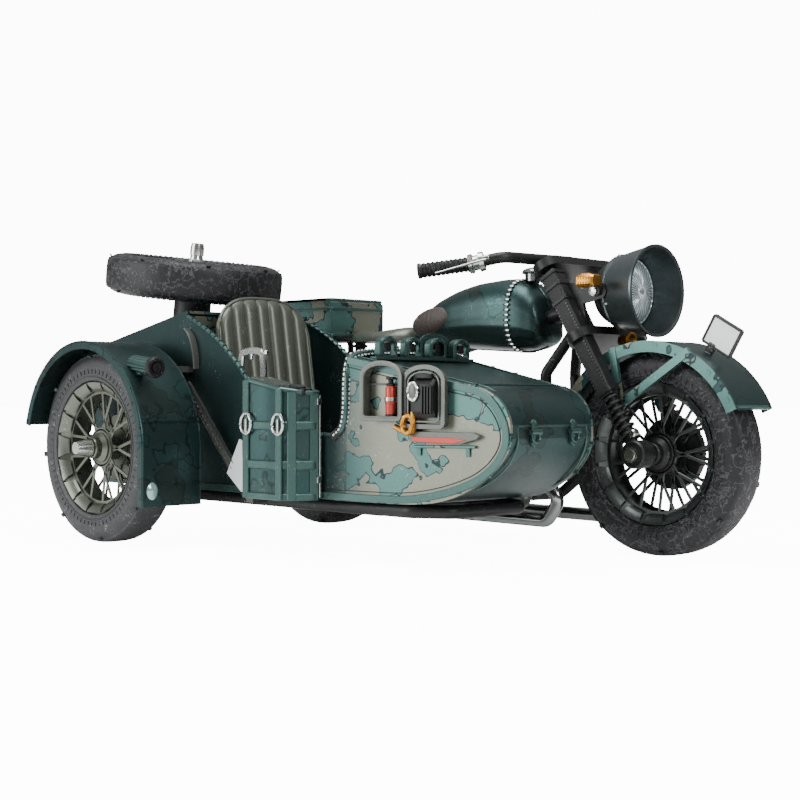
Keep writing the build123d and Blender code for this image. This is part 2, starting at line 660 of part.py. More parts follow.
RACK_Z = 42.6
BOX_HALF = 8.2
BOX_BACK = REAR_X - 13.1
BOX_FRONT = REAR_X + 9.5
BOX_TOP = 51.4
with BuildPart() as luggage_rack:
    for hand in (-1, 1):
        y_out = BIKE_Y + hand * STAY_HALF
        bent_bar(
            ((REAR_X, y_out, 31.5), (REAR_X, y_out, RACK_Z), (BOX_BACK + 1, y_out, RACK_Z)),
            0.7,
            1.4,
        )
        rod((REAR_X, y_out, RACK_Z), (BOX_FRONT, y_out, RACK_Z), 0.7)
    for bar_x in (BOX_BACK + 4, REAR_X, BOX_FRONT - 3):
        rod((bar_x, BIKE_Y - STAY_HALF, RACK_Z), (bar_x, BIKE_Y + STAY_HALF, RACK_Z), 0.6)
    add(main_frame.part, mode=Mode.SUBTRACT)
write(luggage_rack, "luggage_rack")

with BuildPart() as luggage_box:
    with BuildSketch(side(BIKE_Y)):
        Polygon(
            (BOX_BACK, RACK_Z),
            (BOX_FRONT, RACK_Z),
            (BOX_FRONT, BOX_TOP - 1.0),
            (BOX_FRONT - 2, BOX_TOP),
            (BOX_BACK, BOX_TOP),
            align=None,
        )
    extrude(amount=BOX_HALF, both=True)
    add(luggage_rack.part, mode=Mode.SUBTRACT)
    add(rear_fender.part, mode=Mode.SUBTRACT)
write(luggage_box, "luggage_box")


# ---------------------------------------------------------------- sidecar body
cowl_slope = (COWL_BACK_Z - COWL_NOSE_Z) / (44.0 - COCKPIT_FRONT)


def plan_outline(inset, overrun):
    """Add the sidecar's plan, narrowing to the nose, inset at its sides and overrun at its ends."""
    slope = (CAR_HALF - NOSE_HALF) / (NOSE_X - COCKPIT_FRONT)
    wide = CAR_HALF - inset
    narrow = NOSE_HALF - inset - slope * overrun
    Polygon(
        (TAIL_END_X - 4 - overrun, CAR_Y - wide),
        (COCKPIT_FRONT, CAR_Y - wide),
        (NOSE_X + overrun, CAR_Y - narrow),
        (NOSE_X + overrun, CAR_Y + narrow),
        (COCKPIT_FRONT, CAR_Y + wide),
        (TAIL_END_X - 4 - overrun, CAR_Y + wide),
        align=None,
    )


def profile_outline(inset=0.0):
    """Draw the sidecar's side profile, moved inward: flat floor, bullet nose, cowl and tail."""
    low = CAR_FLOOR + inset
    Line((-58.0 + inset, low), (26.0, low))
    Spline(
        (26.0, low),
        (43.5 - 0.4 * inset, 14.2 + 0.9 * inset),
        (NOSE_X - inset, 22.5),
        (44.0 - 0.4 * inset, COWL_NOSE_Z - inset),
        tangents=((1, 0), (-1, cowl_slope)),
    )
    Line((44.0 - 0.4 * inset, COWL_NOSE_Z - inset), (COCKPIT_FRONT, COWL_BACK_Z - inset))
    Line((COCKPIT_FRONT, COWL_BACK_Z - inset), (COCKPIT_BACK, TAIL_TOP - inset))
    Line((COCKPIT_BACK, TAIL_TOP - inset), (TAIL_END_X + 0.5 * inset, 39.5 - inset))
    Line((TAIL_END_X + 0.5 * inset, 39.5 - inset), (TAIL_END_X - 2.6 + inset, 35.5))
    Line((TAIL_END_X - 2.6 + inset, 35.5), (-61.5 + inset, 14.5))
    Line((-61.5 + inset, 14.5), (-58.0 + inset, low))


with BuildPart() as body_block:
    with BuildSketch(side(CAR_Y)):
        with BuildLine():
            profile_outline()
        make_face()
    extrude(amount=CAR_HALF + 1, both=True)
    with BuildSketch(Plane.XY):
        plan_outline(0, 0)
    extrude(amount=60, mode=Mode.INTERSECT)

with BuildPart() as body_inside:
    with BuildSketch(side(CAR_Y)):
        with BuildLine():
            profile_outline(SHEET)
        make_face()
    extrude(amount=CAR_HALF + 1, both=True)

with BuildPart() as plan_inside:
    with BuildSketch(Plane.XY):
        plan_outline(SHEET, 6)
    extrude(amount=60)

with BuildPart() as cockpit_cut:
    with BuildSketch(side(CAR_Y)):
        with BuildLine():
            Polyline((COCKPIT_BACK, 70), (COCKPIT_BACK, TAIL_TOP - 1.0))
            Spline(
                (COCKPIT_BACK, TAIL_TOP - 1.0),
                (-12.0, 33.4),
                (-4.0, SILL),
                tangents=((1, -0.4), (1, -1)),
            )
            FilletPolyline((-4.0, SILL), (COCKPIT_FRONT, SILL), (COCKPIT_FRONT, 70), radius=3)
            Line((COCKPIT_FRONT, 70), (COCKPIT_BACK, 70))
        make_face()
    extrude(amount=CAR_HALF + 3, both=True)

with BuildPart() as side_panels:
    add(body_block.part)
    add(plan_inside.part, mode=Mode.SUBTRACT)
    add(cockpit_cut.part, mode=Mode.SUBTRACT)
write(side_panels, "side_panels")

with BuildPart() as wrap:
    add(body_block.part)
    add(plan_inside.part, mode=Mode.INTERSECT)
    add(body_inside.part, mode=Mode.SUBTRACT)
    add(cockpit_cut.part, mode=Mode.SUBTRACT)

with BuildPart() as body_wrap:
    add(wrap.part)
    split(bisect_by=Plane(origin=(COCKPIT_BACK, 0, 0), z_dir=(1, 0, 0)), keep=Keep.TOP)
write(body_wrap, "body_wrap")

with BuildPart() as tail_shell:
    add(wrap.part)
    split(bisect_by=Plane(origin=(COCKPIT_BACK, 0, 0), z_dir=(1, 0, 0)), keep=Keep.BOTTOM)
    inner_half = CAR_HALF - SHEET
    with BuildSketch(across(COCKPIT_BACK - SHEET, CAR_Y)):
        with Locations((0, (CAR_FLOOR + SHEET + TAIL_TOP - 1.0) / 2)):
            Rectangle(2 * inner_half, TAIL_TOP - 1.0 - CAR_FLOOR - SHEET)
    extrude(amount=SHEET)
write(tail_shell, "tail_shell")

with BuildPart() as coaming:
    roll_r = 1.0
    roll_y = CAR_HALF - 0.3
    bent_bar(
        (
            (COCKPIT_FRONT - 3.5, CAR_Y - roll_y, SILL + 0.6),
            (COCKPIT_FRONT - 0.4, CAR_Y - roll_y, SILL + 2.6),
            (COCKPIT_FRONT - 0.4, CAR_Y - roll_y, COWL_BACK_Z + 0.7),
            (COCKPIT_FRONT - 0.4, CAR_Y + roll_y, COWL_BACK_Z + 0.7),
            (COCKPIT_FRONT - 0.4, CAR_Y + roll_y, SILL + 2.6),
            (COCKPIT_FRONT - 3.5, CAR_Y + roll_y, SILL + 0.6),
        ),
        roll_r,
        1.4,
    )
    add(side_panels.part, mode=Mode.SUBTRACT)
    add(body_wrap.part, mode=Mode.SUBTRACT)
write(coaming, "coaming")

SEAT_HALF = 12.0
with BuildPart() as seat_back:
    lean = Vector(-6.0, 0, 38.0).normalized()
    back_plane = Plane(
        origin=(-20.5, CAR_Y, CAR_FLOOR + SHEET),
        x_dir=(0, 1, 0),
        z_dir=Vector(0, 1, 0).cross(lean),
    )
    with BuildSketch(back_plane):
        with BuildLine():
            Polyline((-SEAT_HALF, 30.0), (-SEAT_HALF, -1.0), (SEAT_HALF, -1.0), (SEAT_HALF, 30.0))
            ThreePointArc((SEAT_HALF, 30.0), (SEAT_HALF - 3.4, 36.2), (SEAT_HALF - 8.5, 38.4))
            Line((SEAT_HALF - 8.5, 38.4), (8.5 - SEAT_HALF, 38.4))
            ThreePointArc((8.5 - SEAT_HALF, 38.4), (3.4 - SEAT_HALF, 36.2), (-SEAT_HALF, 30.0))
        make_face()
    extrude(amount=1.1, both=True)
    split(bisect_by=Plane.XY.offset(CAR_FLOOR + SHEET), keep=Keep.TOP)
write(seat_back, "seat_back")

with BuildPart() as seat_cushion:
    with BuildSketch(Plane.XY.offset(CAR_FLOOR + SHEET)):
        with Locations((-9.0, CAR_Y)):
            RectangleRounded(21.0, 2 * SEAT_HALF + 1.0, 2.0)
    extrude(amount=6.4)
    fillet(seat_cushion.faces().sort_by(Axis.Z)[-1].edges(), 1.2)
    add(seat_back.part, mode=Mode.SUBTRACT)
write(seat_cushion, "seat_cushion")


# ---------------------------------------------------------------- sidecar chassis and wheel mounting
RAIL_Z = CAR_FLOOR - RAIL_R
RAIL_BACK = -58.0
RAIL_FRONT = 36.0
with BuildPart() as sidecar_frame:
    bent_bar(
        (
            (0.0, CAR_Y - RAIL_HALF, RAIL_Z),
            (RAIL_FRONT - 6, CAR_Y - RAIL_HALF, RAIL_Z),
            (RAIL_FRONT, CAR_Y - RAIL_HALF + 4, RAIL_Z),
            (RAIL_FRONT, CAR_Y + RAIL_HALF - 4, RAIL_Z),
            (RAIL_FRONT - 6, CAR_Y + RAIL_HALF, RAIL_Z),
            (0.0, CAR_Y + RAIL_HALF, RAIL_Z),
        ),
        RAIL_R,
    )
    bent_bar(
        (
            (0.0, CAR_Y + RAIL_HALF, RAIL_Z),
            (RAIL_BACK + 6, CAR_Y + RAIL_HALF, RAIL_Z),
            (RAIL_BACK, CAR_Y + RAIL_HALF - 4, RAIL_Z),
            (RAIL_BACK, CAR_Y - RAIL_HALF + 4, RAIL_Z),
            (RAIL_BACK + 6, CAR_Y - RAIL_HALF, RAIL_Z),
            (0.0, CAR_Y - RAIL_HALF, RAIL_Z),
        ),
        RAIL_R,
    )
    for cross_x in (CAR_X, -8.0, 20.0):
        rod((cross_x, CAR_Y - RAIL_HALF, RAIL_Z), (cross_x, CAR_Y + RAIL_HALF, RAIL_Z), RAIL_R * 0.85)
write(sidecar_frame, "sidecar_frame")

CARRIER_Y = CAR_Y - CAR_HALF - 0.1
cap_start = WHEEL_Y - HUB_W / 2 - 0.3
with BuildPart() as sidecar_axle:
    with BuildSketch(side(CARRIER_Y)):
        with BuildLine():
            Polyline((CAR_X - 5.0, RAIL_Z - 1.2), (CAR_X + 5.0, RAIL_Z - 1.2), (CAR_X + 2.6, TYRE_R))
            ThreePointArc((CAR_X + 2.6, TYRE_R), (CAR_X, TYRE_R + 2.6), (CAR_X - 2.6, TYRE_R))
            Line((CAR_X - 2.6, TYRE_R), (CAR_X - 5.0, RAIL_Z - 1.2))
        make_face()
    extrude(amount=1.4)
    with Locations((CAR_X, CARRIER_Y + 1.4, RAIL_Z - 0.4)):
        Box(9.0, 5.6, 1.6)
    rod((CAR_X, CARRIER_Y - 1.4, TYRE_R), (CAR_X, CARRIER_Y - 3.6, TYRE_R), 1.8)
    rod((CAR_X, CARRIER_Y - 3.6, TYRE_R), (CAR_X, cap_start, TYRE_R), AXLE_R)
    with Locations(Plane(origin=(CAR_X, cap_start, TYRE_R), z_dir=(0, -1, 0))):
        Cone(1.9, 1.2, cap_start - WHEEL_Y + CAP_REACH, align=(Align.CENTER, Align.CENTER, Align.MIN))
    add(sidecar_frame.part, mode=Mode.SUBTRACT)
write(sidecar_axle, "sidecar_axle")

FENDER_R = TYRE_R + 1.6
APRON_LOW = 8.4
with BuildPart() as sidecar_fender:
    with BuildSketch(side(WHEEL_Y, CAR_X, TYRE_R)):
        with BuildLine():
            CenterArc((0, 0), FENDER_R + SHEET, 0, 168)
            CenterArc((0, 0), FENDER_R, 0, 168)
            tail_angle = radians(168)
            Line(
                (FENDER_R * cos(tail_angle), FENDER_R * sin(tail_angle)),
                ((FENDER_R + SHEET) * cos(tail_angle), (FENDER_R + SHEET) * sin(tail_angle)),
            )
            Polyline(
                (FENDER_R, 0),
                (FENDER_R, APRON_LOW - TYRE_R),
                (FENDER_R + SHEET, APRON_LOW - TYRE_R),
                (FENDER_R + SHEET, 0),
            )
        make_face()
    extrude(amount=FENDER_HALF, both=True)
write(sidecar_fender, "sidecar_fender")

with BuildPart() as sidecar_struts:
    inner_rail = CAR_Y + RAIL_HALF
    rod((26.0, inner_rail, RAIL_Z), (18.0, BIKE_Y - CRADLE_HALF, CRADLE_Z), 1.0)
    rod((-30.0, inner_rail, RAIL_Z), (-26.0, BIKE_Y - STAY_HALF, CRADLE_Z + 0.4), 1.0)
    outboard = CAR_Y + CAR_HALF + 1.6
    bent_bar(
        ((30.0, inner_rail, RAIL_Z), (30.0, outboard, RAIL_Z), (25.6, BIKE_Y - 4.6, 26.0)),
        0.9,
        1.0,
    )
    bent_bar(
        ((-8.0, inner_rail, RAIL_Z), (-8.0, outboard, RAIL_Z), (-19.0, BIKE_Y - 1.6, 32.0)),
        0.9,
        1.0,
    )
    add(sidecar_frame.part, mode=Mode.SUBTRACT)
    add(main_frame.part, mode=Mode.SUBTRACT)
    for angle in (52, 128):
        spot_x = CAR_X + (FENDER_R - 0.7) * cos(radians(angle))
        spot_z = TYRE_R + (FENDER_R - 0.7) * sin(radians(angle))
        with Locations((spot_x, (CAR_Y - CAR_HALF + WHEEL_Y + FENDER_HALF) / 2 - 0.6, spot_z)):
            Box(3.0, CAR_Y - CAR_HALF - WHEEL_Y - FENDER_HALF + 1.2, 1.2)
    strut_angle = radians(38)
    strut_top = Vector(
        CAR_X + FENDER_R * cos(strut_angle),
        WHEEL_Y + FENDER_HALF + 0.3,
        TYRE_R + FENDER_R * sin(strut_angle),
    )
    strut_foot = Vector(-9.0, CAR_Y - CAR_HALF - 0.9, RAIL_Z + 0.6)
    with BuildSketch(Plane(origin=strut_top, x_dir=(0, 1, 0), z_dir=strut_foot - strut_top)):
        Rectangle(0.6, 1.8)
    extrude(amount=(strut_foot - strut_top).length)
    with Locations((-9.0, CAR_Y - CAR_HALF + 1.0, RAIL_Z + 0.2)):
        Box(2.6, 4.4, 1.2)
    add(sidecar_fender.part, mode=Mode.SUBTRACT)
    add(side_panels.part, mode=Mode.SUBTRACT)
    add(sidecar_frame.part, mode=Mode.SUBTRACT)
    add(body_wrap.part, mode=Mode.SUBTRACT)
write(sidecar_struts, "sidecar_struts")

with BuildPart() as marker_lamp:
    lamp_angle = radians(44)
    lamp_reach = FENDER_R + SHEET - 0.2
    lamp_foot = Vector(
        CAR_X + lamp_reach * cos(lamp_angle),
        WHEEL_Y - 3.6,
        TYRE_R + lamp_reach * sin(lamp_angle),
    )
    with Locations(lamp_foot + Vector(0.4, 0, 0.6)):
        Box(2.4, 1.6, 2.4)
    rod(tuple(lamp_foot + Vector(-1.4, 0, 2.0)), tuple(lamp_foot + Vector(5.4, 0, 1.2)), 1.7)
    rod(tuple(lamp_foot + Vector(5.2, 0, 1.22)), tuple(lamp_foot + Vector(6.2, 0, 1.1)), 2.1)
    add(sidecar_fender.part, mode=Mode.SUBTRACT)

with BuildPart() as marker_lamps:
    add(marker_lamp.part)
    with BuildSketch(across(CAR_X + FENDER_R + SHEET, WHEEL_Y - FENDER_HALF + 2.2, APRON_LOW + 3.0)):
        Ellipse(1.3, 1.7)
    extrude(amount=0.5)
write(marker_lamps, "marker_lamps")


# ---------------------------------------------------------------- side can and grab handle
CAN_BACK = -3.4
CAN_FRONT = 9.4
CAN_DEPTH = 7.0
CAN_LOW = 10.6
CAN_HIGH = 33.0
can_inner = CAR_Y - CAR_HALF - 0.5
with BuildPart() as side_can:
    with BuildSketch(Plane.XY.offset(CAN_LOW)):
        with BuildLine():
            Polyline(
                (CAN_BACK + 1.0, can_inner),
                (CAN_FRONT + 1.6, can_inner),
                (CAN_FRONT + 1.6, can_inner - 1.6),
                (CAN_FRONT, can_inner - CAN_DEPTH + 1.8),
                (CAN_FRONT - 2.0, can_inner - CAN_DEPTH),
                (CAN_BACK + 1.2, can_inner - CAN_DEPTH),
                (CAN_BACK, can_inner - CAN_DEPTH + 1.2),
                (CAN_BACK, can_inner - 1.0),
                close=True,
            )
        make_face()
    extrude(amount=CAN_HIGH - CAN_LOW)
    with BuildSketch(side(can_inner + 1)):
        Polygon(
            (CAN_BACK - 2, CAN_HIGH + 0.4),
            (CAN_FRONT + 4, CAN_HIGH - 3.2),
            (CAN_FRONT + 4, 60),
            (CAN_BACK - 2, 60),
            align=None,
        )
    extrude(amount=CAN_DEPTH + 4, mode=Mode.SUBTRACT)
write(side_can, "side_can")

with BuildPart() as can_rack:
    with Locations(((CAN_BACK + CAN_FRONT) / 2, can_inner + 0.25, 16.0)):
        Box(CAN_FRONT - CAN_BACK + 2.0, 0.5, 2.2)
    with Locations(((CAN_BACK + CAN_FRONT) / 2, can_inner + 0.25, 21.0)):
        Box(CAN_FRONT - CAN_BACK + 2.0, 0.5, 2.2)

with BuildPart() as can_cap:
    with Locations(Plane(origin=(CAN_FRONT - 2.6, can_inner - 3.0, CAN_HIGH - 3.0), z_dir=(0.25, 0, 1))):
        Cylinder(1.7, 2.6, align=(Align.CENTER, Align.CENTER, Align.MIN))
    add(side_can.part, mode=Mode.SUBTRACT)
write(can_cap, "can_cap")

with BuildPart() as can_rings:
    for ring_x in (CAN_BACK + 2.0, CAN_FRONT - 2.4):
        with BuildSketch(side(can_inner - CAN_DEPTH, ring_x, 24.4)):
            Ellipse(1.7, 2.1)
            Ellipse(1.3, 1.7, mode=Mode.SUBTRACT)
            Rectangle(0.5, 3.8)
        extrude(amount=0.5)
with BuildPart() as can_fittings:
    add(can_rack.part)
    add(can_rings.part)
write(can_fittings, "can_fittings")

HANDLE_BACK = -14.6
HANDLE_FRONT = -6.6
with BuildPart() as grab_handle:
    with BuildSketch(side(CAR_Y - CAR_HALF + SHEET)):
        with Locations(((HANDLE_BACK + HANDLE_FRONT) / 2, 33.4)):
            RectangleRounded(HANDLE_FRONT - HANDLE_BACK, 10.4, 1.2)
            with Locations((0, -0.8)):
                RectangleRounded(HANDLE_FRONT - HANDLE_BACK - 2.2, 9.8, 0.8, mode=Mode.SUBTRACT)
        with Locations(((HANDLE_BACK + HANDLE_FRONT) / 2, 26.0)):
            Rectangle(HANDLE_FRONT - HANDLE_BACK, 6.0)
    extrude(amount=SHEET)
    add(side_panels.part, mode=Mode.SUBTRACT)
write(grab_handle, "grab_handle")


# ---------------------------------------------------------------- tools on the body's side
def panel_y(x):
    """Return the y of the right side panel's outer face at a distance along the body."""
    if x < COCKPIT_FRONT:
        return CAR_Y - CAR_HALF
    return CAR_Y - CAR_HALF + (x - COCKPIT_FRONT) * (CAR_HALF - NOSE_HALF) / (NOSE_X - COCKPIT_FRONT)


def panel_plane(x, z, lift=0.0):
    """Return a plane on the tapering part of the right side panel, facing outward."""
    slope = (CAR_HALF - NOSE_HALF) / (NOSE_X - COCKPIT_FRONT)
    outward = Vector(slope, -1, 0).normalized()
    foot = Vector(x, panel_y(x), z) + outward * lift
    return Plane(origin=foot, x_dir=(1, slope, 0), z_dir=outward)


RACK_X = 26.0
RACK_Z0 = 30.4
with BuildPart() as tool_rack:
    with BuildSketch(panel_plane(RACK_X, RACK_Z0)):
        RectangleRounded(8.4, 9.6, 1.6)
        RectangleRounded(6.8, 8.0, 1.0, mode=Mode.SUBTRACT)
    extrude(amount=2.2)
    with BuildSketch(panel_plane(RACK_X + 8.6, RACK_Z0 - 1.0)):
        RectangleRounded(8.4, 10.2, 2.6)
        RectangleRounded(7.0, 8.8, 1.9, mode=Mode.SUBTRACT)
    extrude(amount=1.6)
write(tool_rack, "tool_rack")

with BuildPart() as extinguisher:
    with BuildSketch(panel_plane(RACK_X + 1.4, RACK_Z0 - 0.2)):
        RectangleRounded(1.8, 6.4, 0.7)
    extrude(amount=1.4)

with BuildPart() as lantern:
    with BuildSketch(panel_plane(RACK_X + 8.6, RACK_Z0 - 0.4)):
        RectangleRounded(4.6, 7.0, 0.6)
    extrude(amount=3.0)
    with BuildSketch(panel_plane(RACK_X + 8.0, RACK_Z0 + 0.8, 3.0)):
        Circle(1.5)
    extrude(amount=0.5)
write(lantern, "lantern")

with BuildPart() as brass_roll:
    with BuildSketch(panel_plane(RACK_X + 3.7, 25.0, 1.1)):
        Circle(0.95)
    extrude(amount=1.8)
    roll = panel_plane(RACK_X + 5.6, 24.6, 1.0)
    rod(tuple(roll.origin - roll.x_dir * 3.4), tuple(roll.origin + roll.x_dir * 2.2), 1.0)
    add(tool_rack.part, mode=Mode.SUBTRACT)
    add(lantern.part, mode=Mode.SUBTRACT)
    add(side_panels.part, mode=Mode.SUBTRACT)

with BuildPart() as side_blade:
    with BuildSketch(panel_plane(RACK_X + 12.0, 22.6)):
        with BuildLine():
            Polyline(
                (-8.4, 0.4),
                (-8.4, -2.2),
                (2.6, -2.2),
                (3.4, -0.9),
                (7.0, 0.1),
                (6.6, 0.8),
                (-7.0, 0.8),
                (-8.4, 0.4),
            )
        make_face()
    extrude(amount=0.6)
    add(brass_roll.part, mode=Mode.SUBTRACT)

with BuildPart() as side_tools:
    add(extinguisher.part)
    add(brass_roll.part)
    add(side_blade.part)
write(side_tools, "side_tools")


# ---------------------------------------------------------------- cowl rail and nose latches
def cowl_z(x):
    """Return the height of the cowl's top at a distance along the body."""
    return COWL_BACK_Z - (x - COCKPIT_FRONT) * cowl_slope


LOOP_X = 20.4
LOOP_PITCH = 6.4
with BuildPart() as cowl_rail:
    with Locations((LOOP_X, CAR_Y, cowl_z(LOOP_X) + 0.25)):
        Box(1.6, 4 * LOOP_PITCH, 1.1)
    for place in range(4):
        loop_y = CAR_Y + (place - 1.5) * LOOP_PITCH
        with BuildSketch(across(LOOP_X, loop_y, cowl_z(LOOP_X) + 2.5)):
            RectangleRounded(4.6, 3.8, 1.1)
            RectangleRounded(2.8, 2.0, 0.5, mode=Mode.SUBTRACT)
        extrude(amount=0.8, both=True)
    add(body_wrap.part, mode=Mode.SUBTRACT)

with BuildPart() as cowl_plate:
    with BuildSketch(across(LOOP_X - 1.6, CAR_Y + 4.4, cowl_z(LOOP_X) + 2.6)):
        RectangleRounded(8.6, 5.4, 0.9)
    extrude(amount=0.4)
    add(body_wrap.part, mode=Mode.SUBTRACT)

with BuildPart() as cowl_fittings:
    add(cowl_rail.part)
    add(cowl_plate.part)
write(cowl_fittings, "cowl_fittings")

with BuildPart() as nose_latches:
    for hand in (-1, 1):
        with Locations((NOSE_X, CAR_Y + hand * 5.2, 23.4)):
            Box(1.2, 1.6, 4.6)
        with Locations((NOSE_X + 0.3, CAR_Y + hand * 5.2, 23.4)):
            Box(1.8, 2.6, 1.0)
    add(body_wrap.part, mode=Mode.SUBTRACT)
    add(body_inside.part, mode=Mode.SUBTRACT)
write(nose_latches, "nose_latches")


# ---------------------------------------------------------------- spare wheel on the tail
SPARE_X = -48.8
SPARE_Z = 54.6
SPARE_TILT = radians(8.0)
spare_plane = Plane(
    origin=(SPARE_X, CAR_Y, SPARE_Z),
    x_dir=(cos(SPARE_TILT), 0, sin(SPARE_TILT)),
    z_dir=(0, -1, 0),
)
spare_up = spare_plane.y_dir
write(make_tyre(spare_plane), "spare_tyre")
write(make_rim(spare_plane), "spare_rim")

MOUNT_DEPTH = 14.0        # from the spare wheel's centre plane down into the tail
with BuildPart() as spare_mount:
    spoke_face = SPOKE_SHEET_Y + SPOKE_SHEET / 2
    mount_foot = spare_plane.origin - spare_up * MOUNT_DEPTH
    rod(tuple(mount_foot), tuple(spare_plane.origin - spare_up * spoke_face), HUB_R + 1.4)
    rod(tuple(mount_foot), tuple(spare_plane.origin + spare_up * spoke_face), HUB_R)
    add(body_block.part, mode=Mode.SUBTRACT)

with BuildPart() as spare_nut:
    nut_start = spare_plane.origin + spare_up * (SPOKE_SHEET_Y + SPOKE_SHEET / 2)
    with Locations(Plane(origin=nut_start, z_dir=spare_up)):
        Cylinder(3.4, 0.8, align=(Align.CENTER, Align.CENTER, Align.MIN))
        Cylinder(1.5, 6.0, align=(Align.CENTER, Align.CENTER, Align.MIN))

with BuildPart() as spare_holder:
    add(spare_mount.part)
    add(spare_nut.part)
write(spare_holder, "spare_holder")
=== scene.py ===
# %% [markdown]
# # A folded metal sidecar motorcycle
# The real object is a small kit made from etched metal sheet: every piece is cut flat, folded and
# held with twisted tabs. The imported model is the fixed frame. It gives each piece its place and it
# carries the joints, so we load it first and work out every new piece from its boxes.

import math

import bmesh
import bpy
import numpy as np
from mathutils import Matrix, Vector


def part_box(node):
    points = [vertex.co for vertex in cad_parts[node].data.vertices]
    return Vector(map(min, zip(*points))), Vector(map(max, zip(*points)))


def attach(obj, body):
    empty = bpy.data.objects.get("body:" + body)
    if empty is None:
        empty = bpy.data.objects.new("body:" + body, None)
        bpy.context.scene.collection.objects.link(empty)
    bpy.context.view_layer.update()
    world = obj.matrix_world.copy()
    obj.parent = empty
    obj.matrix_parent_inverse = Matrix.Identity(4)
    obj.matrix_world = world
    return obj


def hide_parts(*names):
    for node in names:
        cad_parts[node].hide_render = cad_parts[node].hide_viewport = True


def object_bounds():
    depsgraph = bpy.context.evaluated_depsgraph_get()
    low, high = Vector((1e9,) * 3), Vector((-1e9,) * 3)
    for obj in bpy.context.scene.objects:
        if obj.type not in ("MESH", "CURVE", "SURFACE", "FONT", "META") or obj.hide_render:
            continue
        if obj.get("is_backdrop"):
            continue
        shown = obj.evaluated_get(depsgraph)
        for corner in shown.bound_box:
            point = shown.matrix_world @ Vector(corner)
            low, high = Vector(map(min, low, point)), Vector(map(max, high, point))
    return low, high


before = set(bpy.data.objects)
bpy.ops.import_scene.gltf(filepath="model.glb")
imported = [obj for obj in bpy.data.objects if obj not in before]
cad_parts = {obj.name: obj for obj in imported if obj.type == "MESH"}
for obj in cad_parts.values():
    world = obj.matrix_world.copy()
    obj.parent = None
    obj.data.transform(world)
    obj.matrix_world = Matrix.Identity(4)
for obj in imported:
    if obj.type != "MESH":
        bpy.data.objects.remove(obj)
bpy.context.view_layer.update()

# %% [markdown]
# All shapes below are worked out in millimetres, because the model is as small as a hand, and are
# turned into metres when they become a mesh. `corners` gives a node's box in millimetres.

# %% Sizes read from the frame
MM = 0.001


def corners(node):
    """The lowest and the highest corner of a node's box, in millimetres."""
    low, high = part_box(node)
    return np.array(low) / MM, np.array(high) / MM


def middle(node):
    """The middle of a node's box, in millimetres."""
    low, high = corners(node)
    return (low + high) / 2


TYRE_R = (corners("front_tyre")[1][2] - corners("front_tyre")[0][2]) / 2
TYRE_HALF = (corners("front_tyre")[1][1] - corners("front_tyre")[0][1]) / 2
BIKE_Y = middle("fork_yokes")[1]
CAR_Y = middle("body_wrap")[1]
HUBS = {name: middle(f"{name}_hub") for name in ("front", "rear", "sidecar")}
SPARE = middle("spare_tyre")
print("tyre radius", round(TYRE_R, 2), "half width", round(TYRE_HALF, 2), "hubs", HUBS)

# %% [markdown]
# A piece is a list of parts, and a part is an array of points with its faces. The simplest part is
# a grid: points in rows and columns, where each four neighbours make a face. A tube is a grid that
# wraps round, and a block is a tube with four columns. Building with arrays keeps each formula in
# sight, and a change to one number changes the whole shape.

# %% Parts from grids
def skin(points, wrap=False, wrap_rows=False, fill_ends=False):
    """A grid of points (rows, columns, 3) made a surface. wrap joins the last column to the first,
    wrap_rows joins the last row to the first, and fill_ends closes the first and the last row."""
    points = np.asarray(points, float)
    rows, columns = points.shape[:2]
    index = np.arange(rows * columns).reshape(rows, columns)
    if wrap_rows:
        index = np.vstack([index, index[:1]])
    if wrap:
        index = np.hstack([index, index[:, :1]])
    faces = np.stack([index[:-1, :-1], index[1:, :-1], index[1:, 1:], index[:-1, 1:]], axis=-1)
    faces = faces.reshape(-1, 4).tolist()
    if fill_ends:
        faces.append(list(range(columns))[::-1])
        faces.append(list(range((rows - 1) * columns, rows * columns)))
    return points.reshape(-1, 3), faces


def unit(vectors):
    """Each vector divided by its own length."""
    return vectors / np.linalg.norm(vectors, axis=-1, keepdims=True)


def carry(path, outline, lean=(0.13, 0.29, 0.95), scale=1.0, closed=False):
    """An outline carried along a path. At each point of the path the outline's first number goes
    sideways (path direction crossed with lean) and its second number goes upwards."""
    path = np.asarray(path, float)
    if closed:
        forward = unit(np.roll(path, -1, axis=0) - np.roll(path, 1, axis=0))
    else:
        forward = unit(np.gradient(path, axis=0))
    sideways = unit(np.cross(forward, np.asarray(lean, float)))
    upwards = np.cross(sideways, forward)
    scale = np.broadcast_to(np.asarray(scale, float), (len(path),))[:, None, None]
    outline = np.asarray(outline, float)
    rings = path[:, None, :] + scale * (
        outline[None, :, :1] * sideways[:, None, :] + outline[None, :, 1:] * upwards[:, None, :]
    )
    return skin(rings, wrap=True, wrap_rows=closed, fill_ends=not closed)


def round_outline(radius, sides=14):
    """A circle as points: radius times the cosine and the sine of each angle."""
    turn = np.linspace(0, 2 * math.pi, sides, endpoint=False)
    return radius * np.stack([np.cos(turn), np.sin(turn)], axis=-1)


def flat_outline(width, thickness, edge=0.25):
    """A rectangle with its corners cut by the given share of the thickness."""
    w, t = width / 2, thickness / 2
    cut = min(edge * thickness, w * 0.8)
    return np.array([(-w + cut, -t), (w - cut, -t), (w, -t + cut), (w, t - cut),
                     (w - cut, t), (-w + cut, t), (-w, t - cut), (-w, -t + cut)])


def soften(points, times=3, closed=False):
    """Cut each corner of a line of points at a quarter and three quarters of its runs, a few times."""
    points = np.asarray(points, float)
    for _ in range(times):
        ahead = np.roll(points, -1, axis=0) if closed else points[1:]
        here = points if closed else points[:-1]
        pairs = np.stack([0.75 * here + 0.25 * ahead, 0.25 * here + 0.75 * ahead], axis=1)
        cut = pairs.reshape(-1, points.shape[1])
        points = cut if closed else np.vstack([points[:1], cut, points[-1:]])
    return points


